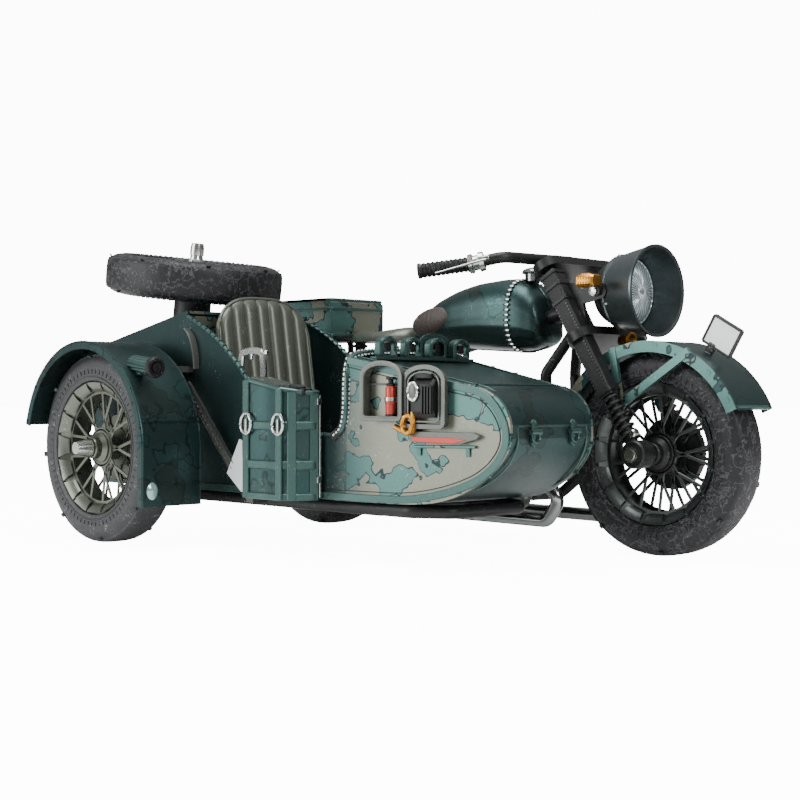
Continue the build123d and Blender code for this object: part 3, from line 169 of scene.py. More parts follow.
def even(points, count):
    """The same line with this many points, evenly spaced along its length."""
    points = np.asarray(points, float)
    steps = np.linalg.norm(np.diff(points, axis=0), axis=1)
    run = np.concatenate([[0], np.cumsum(steps)])
    at = np.linspace(0, run[-1], count)
    return np.stack([np.interp(at, run, points[:, k]) for k in range(points.shape[1])], axis=-1)


def tube(path, radius, sides=14, closed=False):
    """A round bar along a path; radius is one number or one for each point."""
    radius = np.asarray(radius, float)
    return carry(path, round_outline(1.0, sides), scale=radius, closed=closed)


def turned(profile, centre, axle=(0, 1, 0), steps=96, closed=False):
    """A profile of (distance along the axle, radius) turned round the axle. A closed profile comes
    back to its start, and an open one has its two ends filled."""
    axle = unit(np.asarray(axle, float))
    start = unit(np.cross(axle, (0.31, 0.0, 0.95) if abs(axle[1]) > 0.9 else (0.1, 0.99, 0.05)))
    other = np.cross(axle, start)
    profile = np.asarray(profile, float)
    turn = np.linspace(0, 2 * math.pi, steps, endpoint=False)
    ring = np.cos(turn)[:, None] * start + np.sin(turn)[:, None] * other
    points = np.asarray(centre) + profile[:, None, :1] * axle + profile[:, None, 1:] * ring[None]
    return skin(points, wrap=True, wrap_rows=closed, fill_ends=not closed)


def bar(start, end, width, thickness, lean=(0.13, 0.29, 0.95)):
    """A straight flat bar between two points."""
    return carry(np.array([start, end], float), flat_outline(width, thickness), lean)


def block(centre, size, along=(1, 0, 0), lean=(0, 0, 1)):
    """A small block with cut edges: size is its length along, its width and its height."""
    along = unit(np.asarray(along, float))
    stops = np.array([-0.5, -0.42, 0.42, 0.5])[:, None] * size[0] * along
    return carry(np.asarray(centre) + stops, flat_outline(size[1], size[2], 0.15), lean,
                 scale=np.array([0.88, 1, 1, 0.88]))


def repeated(part, centres, turns):
    """Copies of a part: each is turned by its 3 by 3 matrix about the origin and put at its centre."""
    points, faces = part
    every = np.einsum("kij,nj->kni", np.asarray(turns), points) + np.asarray(centres)[:, None, :]
    count = len(points)
    copies = [[corner + k * count for corner in face] for k in range(len(every)) for face in faces]
    return every.reshape(-1, 3), copies


def copies_at(part, centres):
    """Copies of a part at these centres, none of them turned."""
    return repeated(part, centres, np.tile(np.eye(3), (len(centres), 1, 1)))


print("part makers ready")

# %% [markdown]
# `piece` turns parts into one object. Faces that meet at a small angle are shaded smooth and the
# others stay crisp, as folded metal is. Every piece rides on a body by name, takes one material,
# and may stand for nodes of the imported model, which are then not shown.

# %% Pieces from parts
CRISP_ANGLE = math.radians(32)


def piece(name, parts, material, body, stands_for=(), bevel=0.0, merge=0.0):
    """Join parts into one mesh object in the frame, with its normals pointing outwards."""
    points, faces, start = [], [], 0
    for part_points, part_faces in parts:
        points.append(part_points)
        faces += [[corner + start for corner in face] for face in part_faces]
        start += len(part_points)
    mesh = bpy.data.meshes.new(name)
    mesh.from_pydata((np.vstack(points) * MM).tolist(), [], faces)
    work = bmesh.new()
    work.from_mesh(mesh)
    if merge:
        bmesh.ops.remove_doubles(work, verts=work.verts, dist=merge * MM)
    bmesh.ops.recalc_face_normals(work, faces=work.faces)
    work.to_mesh(mesh)
    work.free()
    mesh.polygons.foreach_set("use_smooth", np.ones(len(mesh.polygons), bool))
    mesh.set_sharp_from_angle(angle=CRISP_ANGLE)
    mesh.materials.append(material)
    obj = bpy.data.objects.new(name, mesh)
    bpy.context.scene.collection.objects.link(obj)
    if bevel:
        cut = obj.modifiers.new("edges", "BEVEL")
        cut.width, cut.segments, cut.limit_method = bevel * MM, 2, "ANGLE"
    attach(obj, body)
    if stands_for:
        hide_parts(*stands_for)
    print(f"{name}: {len(mesh.vertices)} points, {len(mesh.polygons)} faces on {body}")
    return obj

# %% [markdown]
# ## Finishes
# The real sheet is printed, so its colour sits on bare metal: it glints like satin and shows a fine
# grain. Three effects are used by many finishes: the camouflage print, the fine grain of the sheet,
# and the rubbed, brighter spots. Each is a shader node group, made once and given its own values in
# each material. A group only hands out colours and values, and the shader stays in the material.

# %% Shader group helpers
def new_group(name, inputs, outputs):
    """An empty shader node group with these input and output sockets."""
    group = bpy.data.node_groups.new(name, "ShaderNodeTree")
    for label, kind, value in inputs:
        socket = group.interface.new_socket(name=label, in_out="INPUT", socket_type=kind)
        if value is not None:
            socket.default_value = value
    for label, kind in outputs:
        group.interface.new_socket(name=label, in_out="OUTPUT", socket_type=kind)
    return group, group.nodes.new("NodeGroupInput"), group.nodes.new("NodeGroupOutput")


def wire(tree, source, target):
    """Link one socket to another."""
    tree.links.new(source, target)


def math_node(tree, operation, first, second=None, third=None):
    """A Math node; each of its inputs is a socket or a number."""
    node = tree.nodes.new("ShaderNodeMath")
    node.operation = operation
    for k, value in enumerate((first, second, third)):
        if value is None:
            continue
        if isinstance(value, (int, float)):
            node.inputs[k].default_value = value
        else:
            wire(tree, value, node.inputs[k])
    return node.outputs[0]


def mix_colour(tree, share, first, second, blend="MIX"):
    """A colour Mix node; share, first and second are sockets, numbers or colours."""
    node = tree.nodes.new("ShaderNodeMix")
    node.data_type, node.blend_type = "RGBA", blend
    for socket, value in ((node.inputs[0], share), (node.inputs[6], first), (node.inputs[7], second)):
        if isinstance(value, bpy.types.NodeSocket):
            wire(tree, value, socket)
        else:
            socket.default_value = value
    return node.outputs[2]


def noise_node(tree, vector, scale, detail=2.0, roughness=0.5):
    """A Noise Texture read at a vector; its plain value comes out."""
    node = tree.nodes.new("ShaderNodeTexNoise")
    node.inputs["Detail"].default_value = detail
    node.inputs["Roughness"].default_value = roughness
    if isinstance(scale, bpy.types.NodeSocket):
        wire(tree, scale, node.inputs["Scale"])
    else:
        node.inputs["Scale"].default_value = scale
    if vector is not None:
        wire(tree, vector, node.inputs["Vector"])
    return node


def step_node(tree, value, low, high):
    """A smooth step: 0 where value is under low, 1 where it is over high."""
    node = tree.nodes.new("ShaderNodeMapRange")
    node.interpolation_type = "SMOOTHSTEP"
    wire(tree, value, node.inputs["Value"])
    node.inputs["From Min"].default_value = low
    node.inputs["From Max"].default_value = high
    return node.outputs["Result"]


VECTOR, FLOAT, COLOUR = "NodeSocketVector", "NodeSocketFloat", "NodeSocketColor"


def shade(red, green, blue):
    """A screen colour, each channel 0 to 255, as the linear colour that a shader wants."""
    screen = np.array([red, green, blue]) / 255
    linear = np.where(screen <= 0.04045, screen / 12.92, ((screen + 0.055) / 1.055) ** 2.4)
    return (*linear.tolist(), 1.0)


print("group helpers ready")

# %% [markdown]
# The camouflage is two layers of wandering patches with a thin dark line round each. A noise value
# that is cut at a level makes a patch with a coastline, and the places where the value is close to
# the level make the line. Dividing by the level's own slope would keep the line even, but a narrow
# band is enough at this size.

# %% Camouflage print group
def make_camouflage():
    """Patch one where noise is over its level, patch two likewise, and a line along both borders."""
    group, given, result = new_group(
        "camouflage print",
        [("Vector", VECTOR, None), ("Ground", COLOUR, (1, 1, 1, 1)), ("Patch", COLOUR, (1, 1, 1, 1)),
         ("Second patch", COLOUR, (1, 1, 1, 1)), ("Line", COLOUR, (0, 0, 0, 1)),
         ("Scale", FLOAT, 70.0), ("Line strength", FLOAT, 1.0), ("Patch level", FLOAT, 0.54)],
        [("Color", COLOUR), ("Line mask", FLOAT)],
    )
    vector, scale = given.outputs["Vector"], given.outputs["Scale"]
    first = noise_node(group, vector, scale, 3.5, 0.56).outputs["Fac"]
    moved = group.nodes.new("ShaderNodeVectorMath")
    moved.operation = "ADD"
    moved.inputs[1].default_value = (0.37, 0.11, 0.23)
    wire(group, vector, moved.inputs[0])
    second = noise_node(group, moved.outputs[0], math_node(group, "MULTIPLY", scale, 1.35), 3.0, 0.55)
    second = second.outputs["Fac"]
    over = math_node(group, "SUBTRACT", first, given.outputs["Patch level"])
    patch_one = step_node(group, over, -0.003, 0.003)
    patch_two = step_node(group, second, 0.597, 0.603)
    colour = mix_colour(group, patch_one, given.outputs["Ground"], given.outputs["Patch"])
    colour = mix_colour(group, patch_two, colour, given.outputs["Second patch"])
    near_one = math_node(group, "ABSOLUTE", over)
    near_two = math_node(group, "ABSOLUTE", math_node(group, "SUBTRACT", second, 0.6))
    near = math_node(group, "MINIMUM", near_one, near_two)
    line = math_node(group, "SUBTRACT", 1.0, step_node(group, near, 0.0035, 0.0075))
    line = math_node(group, "MULTIPLY", line, given.outputs["Line strength"])
    wire(group, mix_colour(group, line, colour, given.outputs["Line"]), result.inputs["Color"])
    wire(group, line, result.inputs["Line mask"])
    return group


CAMOUFLAGE = make_camouflage()
print("camouflage group", len(CAMOUFLAGE.nodes), "nodes")

# %% [markdown]
# Printed metal sheet isn't even: a fine sparkle comes from the grain of the metal under the ink,
# broader soft patches come from handling, and small spots are rubbed to a brighter metal.

# %% Sheet grain and rubbed spots groups
def make_grain():
    """Fine noise for sparkle and height, and broad noise for a slow change of roughness."""
    group, given, result = new_group(
        "sheet grain",
        [("Vector", VECTOR, None), ("Color", COLOUR, (1, 1, 1, 1)), ("Grain size", FLOAT, 6000.0),
         ("Grain", FLOAT, 0.25), ("Roughness", FLOAT, 0.4), ("Unevenness", FLOAT, 0.1)],
        [("Color", COLOUR), ("Roughness", FLOAT), ("Height", FLOAT)],
    )
    vector = given.outputs["Vector"]
    fine = noise_node(group, vector, given.outputs["Grain size"], 1.0, 0.5).outputs["Fac"]
    broad = noise_node(group, vector, 140.0, 4.0, 0.6).outputs["Fac"]
    level = math_node(group, "SUBTRACT", fine, 0.5)
    level = math_node(group, "MULTIPLY", level, given.outputs["Grain"])
    level = math_node(group, "MULTIPLY_ADD", level, 2.0, 1.0)
    grey = group.nodes.new("ShaderNodeCombineColor")
    for channel in grey.inputs:
        wire(group, level, channel)
    colour = mix_colour(group, 1.0, given.outputs["Color"], grey.outputs[0], "MULTIPLY")
    soft = math_node(group, "SUBTRACT", broad, 0.5)
    soft = math_node(group, "MULTIPLY_ADD", soft, given.outputs["Unevenness"], given.outputs["Roughness"])
    wire(group, colour, result.inputs["Color"])
    wire(group, soft, result.inputs["Roughness"])
    wire(group, fine, result.inputs["Height"])
    return group


def make_rubbed():
    """Small spots where a broad and a fine noise are both high."""
    group, given, result = new_group(
        "rubbed spots",
        [("Vector", VECTOR, None), ("Color", COLOUR, (1, 1, 1, 1)), ("Bare metal", COLOUR, (1, 1, 1, 1)),
         ("Spots", FLOAT, 0.3)],
        [("Color", COLOUR), ("Mask", FLOAT)],
    )
    vector = given.outputs["Vector"]
    broad = noise_node(group, vector, 260.0, 3.0, 0.6).outputs["Fac"]
    fine = noise_node(group, vector, 2600.0, 2.0, 0.6).outputs["Fac"]
    both = math_node(group, "MULTIPLY", broad, fine)
    mask = math_node(group, "MULTIPLY", step_node(group, both, 0.36, 0.44), given.outputs["Spots"])
    wire(group, mix_colour(group, mask, given.outputs["Color"], given.outputs["Bare metal"]),
         result.inputs["Color"])
    wire(group, mask, result.inputs["Mask"])
    return group


GRAIN, RUBBED = make_grain(), make_rubbed()
print("grain and rubbed groups ready")

# %% [markdown]
# `finish` puts the groups together in front of a Principled shader. The object coordinates come
# through a Mapping node, so each finish can be turned or moved over its piece.

# %% Finish maker
BARE_STEEL = shade(205, 208, 204)


def group_node(tree, group, **values):
    """A node group placed in a material, with its values set by socket name."""
    node = tree.nodes.new("ShaderNodeGroup")
    node.node_tree = group
    for label, value in values.items():
        node.inputs[label.replace("_", " ")].default_value = value
    return node


def finish(name, ground, metallic, roughness, grain=0.25, grain_size=6000.0, unevenness=0.12,
           spots=0.2, bare=BARE_STEEL, bump=0.12, coat=0.0, print_=None, offset=(0, 0, 0),
           turn=(0, 0, 0), relief=None, painted_shade=None, wrinkles=None):
    """A printed or painted sheet: camouflage if print_ is given, then grain, then rubbed spots.
    relief is (scale, strength) of a coarser noise that roughens the surface, the shade argument is
    (start, end, colour) of painted shade at the low X end, and wrinkles is (scale, colour) of painted
    highlights on lines where a noise is half."""
    material = bpy.data.materials.new(name)
    material.use_nodes = True
    tree = material.node_tree
    shader = next(node for node in tree.nodes if node.type == "BSDF_PRINCIPLED")
    where = tree.nodes.new("ShaderNodeTexCoord")
    mapping = tree.nodes.new("ShaderNodeMapping")
    mapping.inputs["Location"].default_value = offset
    mapping.inputs["Rotation"].default_value = turn
    wire(tree, where.outputs["Object"], mapping.inputs["Vector"])
    vector = mapping.outputs["Vector"]
    grained = group_node(tree, GRAIN, Grain_size=grain_size, Grain=grain, Roughness=roughness,
                         Unevenness=unevenness)
    grained.inputs["Color"].default_value = ground
    rubbed = group_node(tree, RUBBED, Bare_metal=bare, Spots=spots)
    wire(tree, vector, grained.inputs["Vector"])
    wire(tree, vector, rubbed.inputs["Vector"])
    if print_ is not None:
        printed = group_node(tree, CAMOUFLAGE, Ground=ground, **print_)
        wire(tree, vector, printed.inputs["Vector"])
        shown = printed.outputs["Color"]
        # Painted shade: towards low X the print fades to the given dark colour, standing in for shade and
        # dark reflection there.
        if painted_shade is not None:
            along_x = tree.nodes.new("ShaderNodeSeparateXYZ")
            wire(tree, where.outputs["Object"], along_x.inputs[0])
            unshaded_share = step_node(tree, along_x.outputs["X"], painted_shade[0], painted_shade[1])
            shown = mix_colour(tree, unshaded_share, painted_shade[2], shown)
        wire(tree, shown, grained.inputs["Color"])
    wire(tree, grained.outputs["Color"], rubbed.inputs["Color"])
    wire(tree, rubbed.outputs["Color"], shader.inputs["Base Color"])
    wire(tree, grained.outputs["Roughness"], shader.inputs["Roughness"])
    shader.inputs["Metallic"].default_value = metallic
    shader.inputs["Coat Weight"].default_value = coat
    shader.inputs["Coat Roughness"].default_value = 0.25
    height = grained.outputs["Height"]
    if relief is not None:
        coarse = noise_node(tree, vector, relief[0], 4.0, 0.65).outputs["Fac"]
        height = math_node(tree, "MULTIPLY_ADD", coarse, relief[1], height)
    if wrinkles is not None:
        folds = noise_node(tree, vector, wrinkles[0], 3.0, 0.6).outputs["Fac"]
        ridge = math_node(tree, "ABSOLUTE", math_node(tree, "SUBTRACT", folds, 0.5))
        line = step_node(tree, ridge, 0.035, 0.0)
        # Painted highlight: the wrinkle lines are mixed halfway towards the lighter wrinkle colour, as if
        # their ridges caught the light.
        wear_and_glint = math_node(tree, "MULTIPLY", line, 0.5)
        wire(tree, mix_colour(tree, wear_and_glint, rubbed.outputs["Color"], wrinkles[1]),
             shader.inputs["Base Color"])
        height = math_node(tree, "MULTIPLY_ADD", line, 1.6, height)
    raised = tree.nodes.new("ShaderNodeBump")
    raised.inputs["Strength"].default_value = bump
    raised.inputs["Distance"].default_value = 0.05 * MM
    wire(tree, height, raised.inputs["Height"])
    wire(tree, raised.outputs["Normal"], shader.inputs["Normal"])
    return material


TEAL, DARK_TEAL, BEIGE = shade(74, 110, 105), shade(40, 66, 66), shade(118, 121, 108)
INK = shade(30, 44, 44)
CAMO = dict(Patch=BEIGE, Second_patch=DARK_TEAL, Line=INK, Scale=72.0)
camo = finish("camouflage sheet", TEAL, 0.72, 0.36, print_=CAMO)
# Painted shade: the beige sheet darkens to dark teal from 27 mm down to 12 mm along X.
beige_camo_and_shade = finish("camouflage sheet, beige ground with painted shade", BEIGE, 0.7, 0.38,
                    print_=dict(CAMO, Patch=TEAL, Second_patch=TEAL, Scale=85.0, Patch_level=0.56),
                    offset=(0.021, 0.013, 0.009), painted_shade=(0.012, 0.027, shade(34, 54, 54)))
# The dark ground and its patches are partly the print's darker teal and partly painted shade of the dark
# surroundings mirrored in these parts.
dark_and_shaded_camo = finish("camouflage sheet, dark ground and painted shade", shade(48, 68, 67), 0.8, 0.34, spots=0.08,
                   print_=dict(CAMO, Patch=shade(46, 72, 71), Second_patch=shade(46, 60, 58),
                               Scale=60.0, Line_strength=0.75))
teal_sheet = finish("teal sheet", shade(62, 88, 84), 0.75, 0.36, spots=0.1)
grey_sheet = finish("grey sheet", shade(92, 95, 90), 0.7, 0.4)
seat_sheet = finish("seat sheet", shade(92, 97, 88), 0.62, 0.4, grain=0.35, relief=(1500.0, 0.8))
black_metal = finish("black sheet", shade(34, 35, 35), 0.55, 0.42, spots=0.4,
                     bare=shade(120, 124, 122))
crinkle_black = finish("crinkled black", shade(34, 34, 35), 0.5, 0.5, grain=0.5, grain_size=3500.0,
                       spots=0.5, bare=shade(98, 100, 100), bump=0.5, relief=(1400.0, 1.5))
bright_metal = finish("bright metal", shade(206, 208, 204), 1.0, 0.22, grain=0.12, spots=0.0)
polished = finish("polished metal", shade(150, 154, 152), 1.0, 0.16, grain=0.1, spots=0.0)
brass = finish("brass sheet", shade(186, 132, 58), 1.0, 0.34, grain=0.3, spots=0.3,
               bare=shade(226, 190, 120))
wheel_grey = finish("wheel sheet", shade(108, 112, 102), 0.85, 0.36, grain=0.2)
wheel_dark = finish("dark wheel sheet", shade(82, 88, 86), 0.85, 0.34, grain=0.2)
tyre_grey = finish("grey tyre sheet", shade(58, 60, 61), 0.35, 0.55, grain=0.5, grain_size=3000.0,
                   spots=0.6, bare=shade(150, 152, 150), bump=0.6, relief=(1300.0, 1.8))
# The black tyre's wrinkle colour is a painted highlight along the crinkle ridges.
tyre_black = finish("black tyre sheet", shade(30, 30, 32), 0.35, 0.5,
                    wrinkles=(420.0, shade(92, 96, 100)), grain=0.5, grain_size=3000.0,
                    spots=0.7, bare=shade(104, 106, 108), bump=0.6, relief=(1300.0, 1.8))
red_sheet = finish("red sheet", shade(172, 62, 52), 0.5, 0.36, bare=shade(214, 160, 150))
white_plate = finish("white plate", shade(222, 228, 228), 0.15, 0.35, grain=0.08, spots=0.1)
print("finishes", len(bpy.data.materials))

# %% [markdown]
# ## Wheels
# Each is the same for all four wheels, so it is made once round the Y axis at the origin, and is
# then placed.

# %% Tyre
BEAD_R = 13.2


def tyre_parts():
    """The tyre's section carried round: radius changes with the angle by a small crackle, which is
    the sum of three waves with different counts, and by a step at each shoulder seam."""
    half = TYRE_HALF
    section = np.array([
        (-half + 0.9, BEAD_R), (-half + 0.25, BEAD_R + 0.25), (-half, BEAD_R + 0.75),
        (-half, BEAD_R + 0.9), (-half + 0.14, BEAD_R + 1.0), (-half + 0.14, BEAD_R + 1.15),
        (-half, BEAD_R + 1.3), (-half, 15.6), (-half + 0.04, 16.4), (-half + 0.22, 17.1),
        (-half + 0.55, 17.7), (-half + 0.86, 18.12), (-half + 0.98, 18.3), (-half + 1.0, 18.62),
        (-half + 1.3, 18.78), (-half + 2.0, 18.93), (-half + 3.0, 18.99),
    ])
    mirrored = section[::-1] * (-1, 1)
    section = np.vstack([section, [(0.0, 19.0)], mirrored])
    steps = 288
    turn = np.linspace(0, 2 * math.pi, steps, endpoint=False)
    waves = np.sin(turn * 37) * np.sin(turn * 5 + 1) + 0.7 * np.sin(turn * 61 + 2) + 0.5 * np.sin(turn * 96)
    across = np.sin(section[:, 0] * 3.1)[:, None] * np.cos(turn * 23)[None]
    wear_and_glint = 0.028 * (waves[None] + across)
    tread = (section[:, 1] > 18.5)[:, None]
    radius = section[:, 1][:, None] - np.where(tread, np.abs(wear_and_glint), 0.35 * np.abs(wear_and_glint))
    side_wear = 0.3 * wear_and_glint * np.sign(section[:, 0])[:, None] * -1
    sideways = section[:, 0][:, None] + np.where(tread, 0, side_wear)
    points = np.stack([radius * np.cos(turn), np.broadcast_to(sideways, radius.shape),
                       radius * np.sin(turn)], axis=-1)
    parts = [skin(points, wrap=True, wrap_rows=True)]
    dash_turn = np.linspace(0, 2 * math.pi, 72, endpoint=False)
    dash = block((0, 0, 0), (0.34, 0.16, 0.9), along=(0, 1, 0), lean=(1, 0, 0))
    for hand in (-1, 1):
        dash_radius = 15.2
        parts.append(repeated(dash, *ring_of(dash_turn, dash_radius, hand * (half - 0.02))))
        tab_turn = np.linspace(0, 2 * math.pi, 8, endpoint=False) + 0.3 + 0.2 * hand
        tab = block((0, 0, 0), (1.1, 0.3, 1.0), along=(0.6, 0.8 * hand, 0.0), lean=(0, 0.3, 0.9))
        parts.append(repeated(tab, *ring_of(tab_turn, 18.15, hand * (half - 0.75))))
    return parts


def ring_of(turn, radius, y):
    """Centres and turns for parts set round the Y axis: a part's own X points outwards."""
    turn = np.asarray(turn, float)
    centres = np.stack([radius * np.cos(turn), np.full_like(turn, y), radius * np.sin(turn)], axis=-1)
    zero, one = np.zeros_like(turn), np.ones_like(turn)
    turns = np.stack([
        np.stack([np.cos(turn), zero, -np.sin(turn)], axis=-1),
        np.stack([zero, one, zero], axis=-1),
        np.stack([np.sin(turn), zero, np.cos(turn)], axis=-1),
    ], axis=1)
    return centres, turns


TYRE = tyre_parts()
print("tyre parts", len(TYRE), "points", sum(len(part[0]) for part in TYRE))

# %% [markdown]
# The rim's segments are small trapezoids, folded inwards like a shallow cone. One segment is a grid
# of four by six points given a wall, and the ring is that segment repeated.

# %% Rim segments and spokes
SEGMENTS, SPOKE_PAIRS = 16, 9
SPOKE_SHEET_OUT, SPOKE_FOOT_R, SPOKE_HEAD_R = 1.75, 2.9, 11.3


def segment_part(hand):
    """A cone patch from the bead down to the spoke ring, with a wall: its half angle shrinks from
    the outer to the inner edge, so that neighbours leave a wedge between them."""
    share = np.linspace(0, 1, 4)
    radius = 13.1 - 1.75 * share
    depth = hand * (TYRE_HALF - 0.35 - 1.3 * share ** 1.4)
    half_turn = math.pi / SEGMENTS - 0.016 - 0.05 * share
    lift = np.linspace(-1, 1, 6)
    angle = half_turn[:, None] * lift[None]
    outer = np.stack([radius[:, None] * np.cos(angle), np.broadcast_to(depth[:, None], angle.shape),
                      radius[:, None] * np.sin(angle)], axis=-1)
    inner = outer - np.array([0.0, 0.28 * hand, 0.0]) - 0.1 * unit(outer * (1, 0, 1))
    loop = np.concatenate([outer, inner[:, ::-1]], axis=1)
    return skin(loop, wrap=True, fill_ends=True)


def spoke_parts(hand):
    """Crossed flat spokes: a spoke runs from the hub at one angle to the ring at another."""
    sheet_y = hand * SPOKE_SHEET_OUT
    pair = np.linspace(0, 2 * math.pi, SPOKE_PAIRS, endpoint=False)
    spoke = bar((0, 0, 0), (1, 0, 0), 0.62, 0.34, lean=(0, 1, 0))
    parts = []
    for lean in (-1, 1):
        foot, head = pair - math.radians(15) * lean, pair + math.radians(9) * lean
        start = np.stack([SPOKE_FOOT_R * np.cos(foot), np.full_like(foot, sheet_y),
                          SPOKE_FOOT_R * np.sin(foot)], axis=-1)
        stop = np.stack([SPOKE_HEAD_R * np.cos(head), np.full_like(head, sheet_y),
                         SPOKE_HEAD_R * np.sin(head)], axis=-1)
        run = stop - start
        aside = np.cross(run / np.linalg.norm(run, axis=1, keepdims=True), (0, 1, 0))
        turns = np.stack([run, np.broadcast_to((0, 1.0, 0), run.shape), aside], axis=-1)
        parts.append(repeated(spoke, start, turns))
    ring = [(sheet_y - 0.2, 10.75), (sheet_y - 0.2, 11.7), (sheet_y + 0.2, 11.7), (sheet_y + 0.2, 10.75)]
    flange = [(sheet_y - 0.3, 2.4), (sheet_y - 0.3, 4.0), (sheet_y + 0.3, 4.0), (sheet_y + 0.3, 2.4)]
    parts += [turned(ring, (0, 0, 0), closed=True), turned(flange, (0, 0, 0), closed=True)]
    return parts


def rim_parts():
    """Segments and spokes on both faces, joined by the rim's barrel."""
    parts = []
    seats = np.linspace(0, 2 * math.pi, SEGMENTS, endpoint=False)
    for hand in (-1, 1):
        parts.append(repeated(segment_part(hand), *ring_of(seats, 0.0, 0.0)))
        parts += spoke_parts(hand)
    barrel = [(-3.4, 12.7), (-3.4, 13.15), (3.4, 13.15), (3.4, 12.7), (2.3, 11.9), (1.9, 11.5),
              (-1.9, 11.5), (-2.3, 11.9)]
    parts.append(turned(barrel, (0, 0, 0), steps=128, closed=True))
    return parts


def hub_parts():
    """The hub's barrel with ringed flanges, bored for the axle, and the brake drum on the left."""
    steps_out = [(-4.55, 1.06), (-4.55, 1.9), (-4.3, 2.1), (-3.2, 2.2), (-2.9, 2.5), (-2.5, 3.0),
                 (-2.2, 3.0), (-2.2, 3.35), (-2.05, 3.5), (-2.05, 3.75), (-1.7, 3.8), (-1.4, 2.5),
                 (1.4, 2.5), (1.98, 2.6), (1.98, 6.5), (2.2, 6.75), (3.7, 6.75), (3.95, 6.5),
                 (3.95, 5.4), (3.75, 5.2), (3.75, 4.2), (3.95, 4.0), (3.95, 2.6), (4.5, 2.4), (4.55, 1.06)]
    cooling = np.linspace(0, 2 * math.pi, 20, endpoint=False)
    fin = block((0, 0, 0), (0.25, 1.3, 0.35), along=(1, 0, 0), lean=(0, 0, 1))
    return [turned(steps_out, (0, 0, 0), closed=True), repeated(fin, *ring_of(cooling, 6.8, 2.95))]


RIM, HUB = rim_parts(), hub_parts()


def placed(parts, centre, turn=None):
    """Parts made at the origin, turned by a matrix and put at a centre."""
    turn = np.eye(3) if turn is None else turn
    return [(points @ np.asarray(turn).T + np.asarray(centre), faces) for points, faces in parts]


WHEELS = {
    "front": ("front_wheel", tyre_black, wheel_dark, black_metal),
    "rear": ("rear_wheel", tyre_black, wheel_dark, wheel_dark),
    "sidecar": ("sidecar_wheel", tyre_grey, wheel_grey, wheel_grey),
}
for name, (body, tyre_finish, rim_finish, hub_finish) in WHEELS.items():
    centre = HUBS[name]
    piece(f"{name}_tyre_sheet", placed(TYRE, centre), tyre_finish, body, [f"{name}_tyre"])
    piece(f"{name}_rim_sheet", placed(RIM, centre), rim_finish, body, [f"{name}_rim"])
    piece(f"{name}_hub_turned", placed(HUB, centre), hub_finish, body, [f"{name}_hub"])

SPARE_TILT = math.radians(8)
spare_turn = np.array([[math.cos(SPARE_TILT), math.sin(SPARE_TILT), 0], [0, 0, -1],
                       [-math.sin(SPARE_TILT), math.cos(SPARE_TILT), 0]])
print("wheels done")

# %% [markdown]
# The spare wheel lies on the tail, its axle nearly upright and leaning back a little. It has the
# same tyre and rim, and a bright spindle with a nut holds it.

# %% Spare wheel
spare_axle = spare_turn @ np.array([0.0, 1.0, 0.0])
piece("spare_tyre_sheet", placed(TYRE, SPARE, spare_turn), tyre_black, "chassis",
      ["spare_tyre"])
piece("spare_rim_sheet", placed(RIM, SPARE, spare_turn), wheel_dark, "chassis",
      ["spare_rim"])
boss = [(-14.0, 3.9), (-13.4, 4.0), (-4.0, 4.0), (-3.4, 3.6), (-3.0, 3.9), (-2.3, 4.0), (-2.0, 2.4)]
nut = [(1.6, 3.3), (2.3, 3.4), (2.6, 3.1), (2.9, 3.1), (3.1, 1.9), (4.3, 1.9), (4.4, 1.5), (5.2, 1.3),
       (5.3, 1.5), (6.9, 1.5), (7.9, 1.3), (7.95, 0.7)]
piece("spare_boss", [turned(boss, SPARE, spare_axle, 48)], black_metal, "chassis",
      ["spare_holder"])
piece("spare_spindle", [turned(nut, SPARE, spare_axle, 48)], bright_metal, "chassis")

# %% [markdown]
# ## Fenders
# A fender is one strip of sheet bent round the wheel with its two edges folded down, so its section
# is a shallow channel. Carrying that channel along an arc gives the whole fender. The section stands
# on the arc's radius: its first number is the height over the arc and its second goes across.

# %% Fender maker
def arc(centre, radius, start, stop, count=72):
    """Points of an upright arc seen from the right: angles from straight ahead, in degrees."""
    turn = np.radians(np.linspace(start, stop, count))
    cx, y, cz = centre
    return np.stack([cx + radius * np.cos(turn), np.full_like(turn, y), cz + radius * np.sin(turn)],
                    axis=-1)


def channel(half, wall, lip):
    """The section of a fender: a flat web with both edges folded down by the lip."""
    fold = 0.35
    outer = [(-lip, -half), (wall - fold, -half), (wall, -half + fold), (wall + 0.02, 0.0),
             (wall, half - fold), (wall - fold, half), (-lip, half)]
    inner = [(-lip, half - 0.4), (0.0, half - 0.4), (0.0, -half + 0.4), (-lip, -half + 0.4)]
    return np.array(outer + inner)


def on_arc(centre, radius, angles, across, size, lift=0.0):
    """Small blocks on an arc: size is along the arc, across it and outwards."""
    turn = np.radians(np.asarray(angles, float))
    small = block((0, 0, 0), (size[2], size[1], size[0]), along=(1, 0, 0), lean=(0, 0, 1))
    centres, turns = ring_of(turn, radius + lift, across)
    return repeated(small, centres + np.asarray(centre), turns)


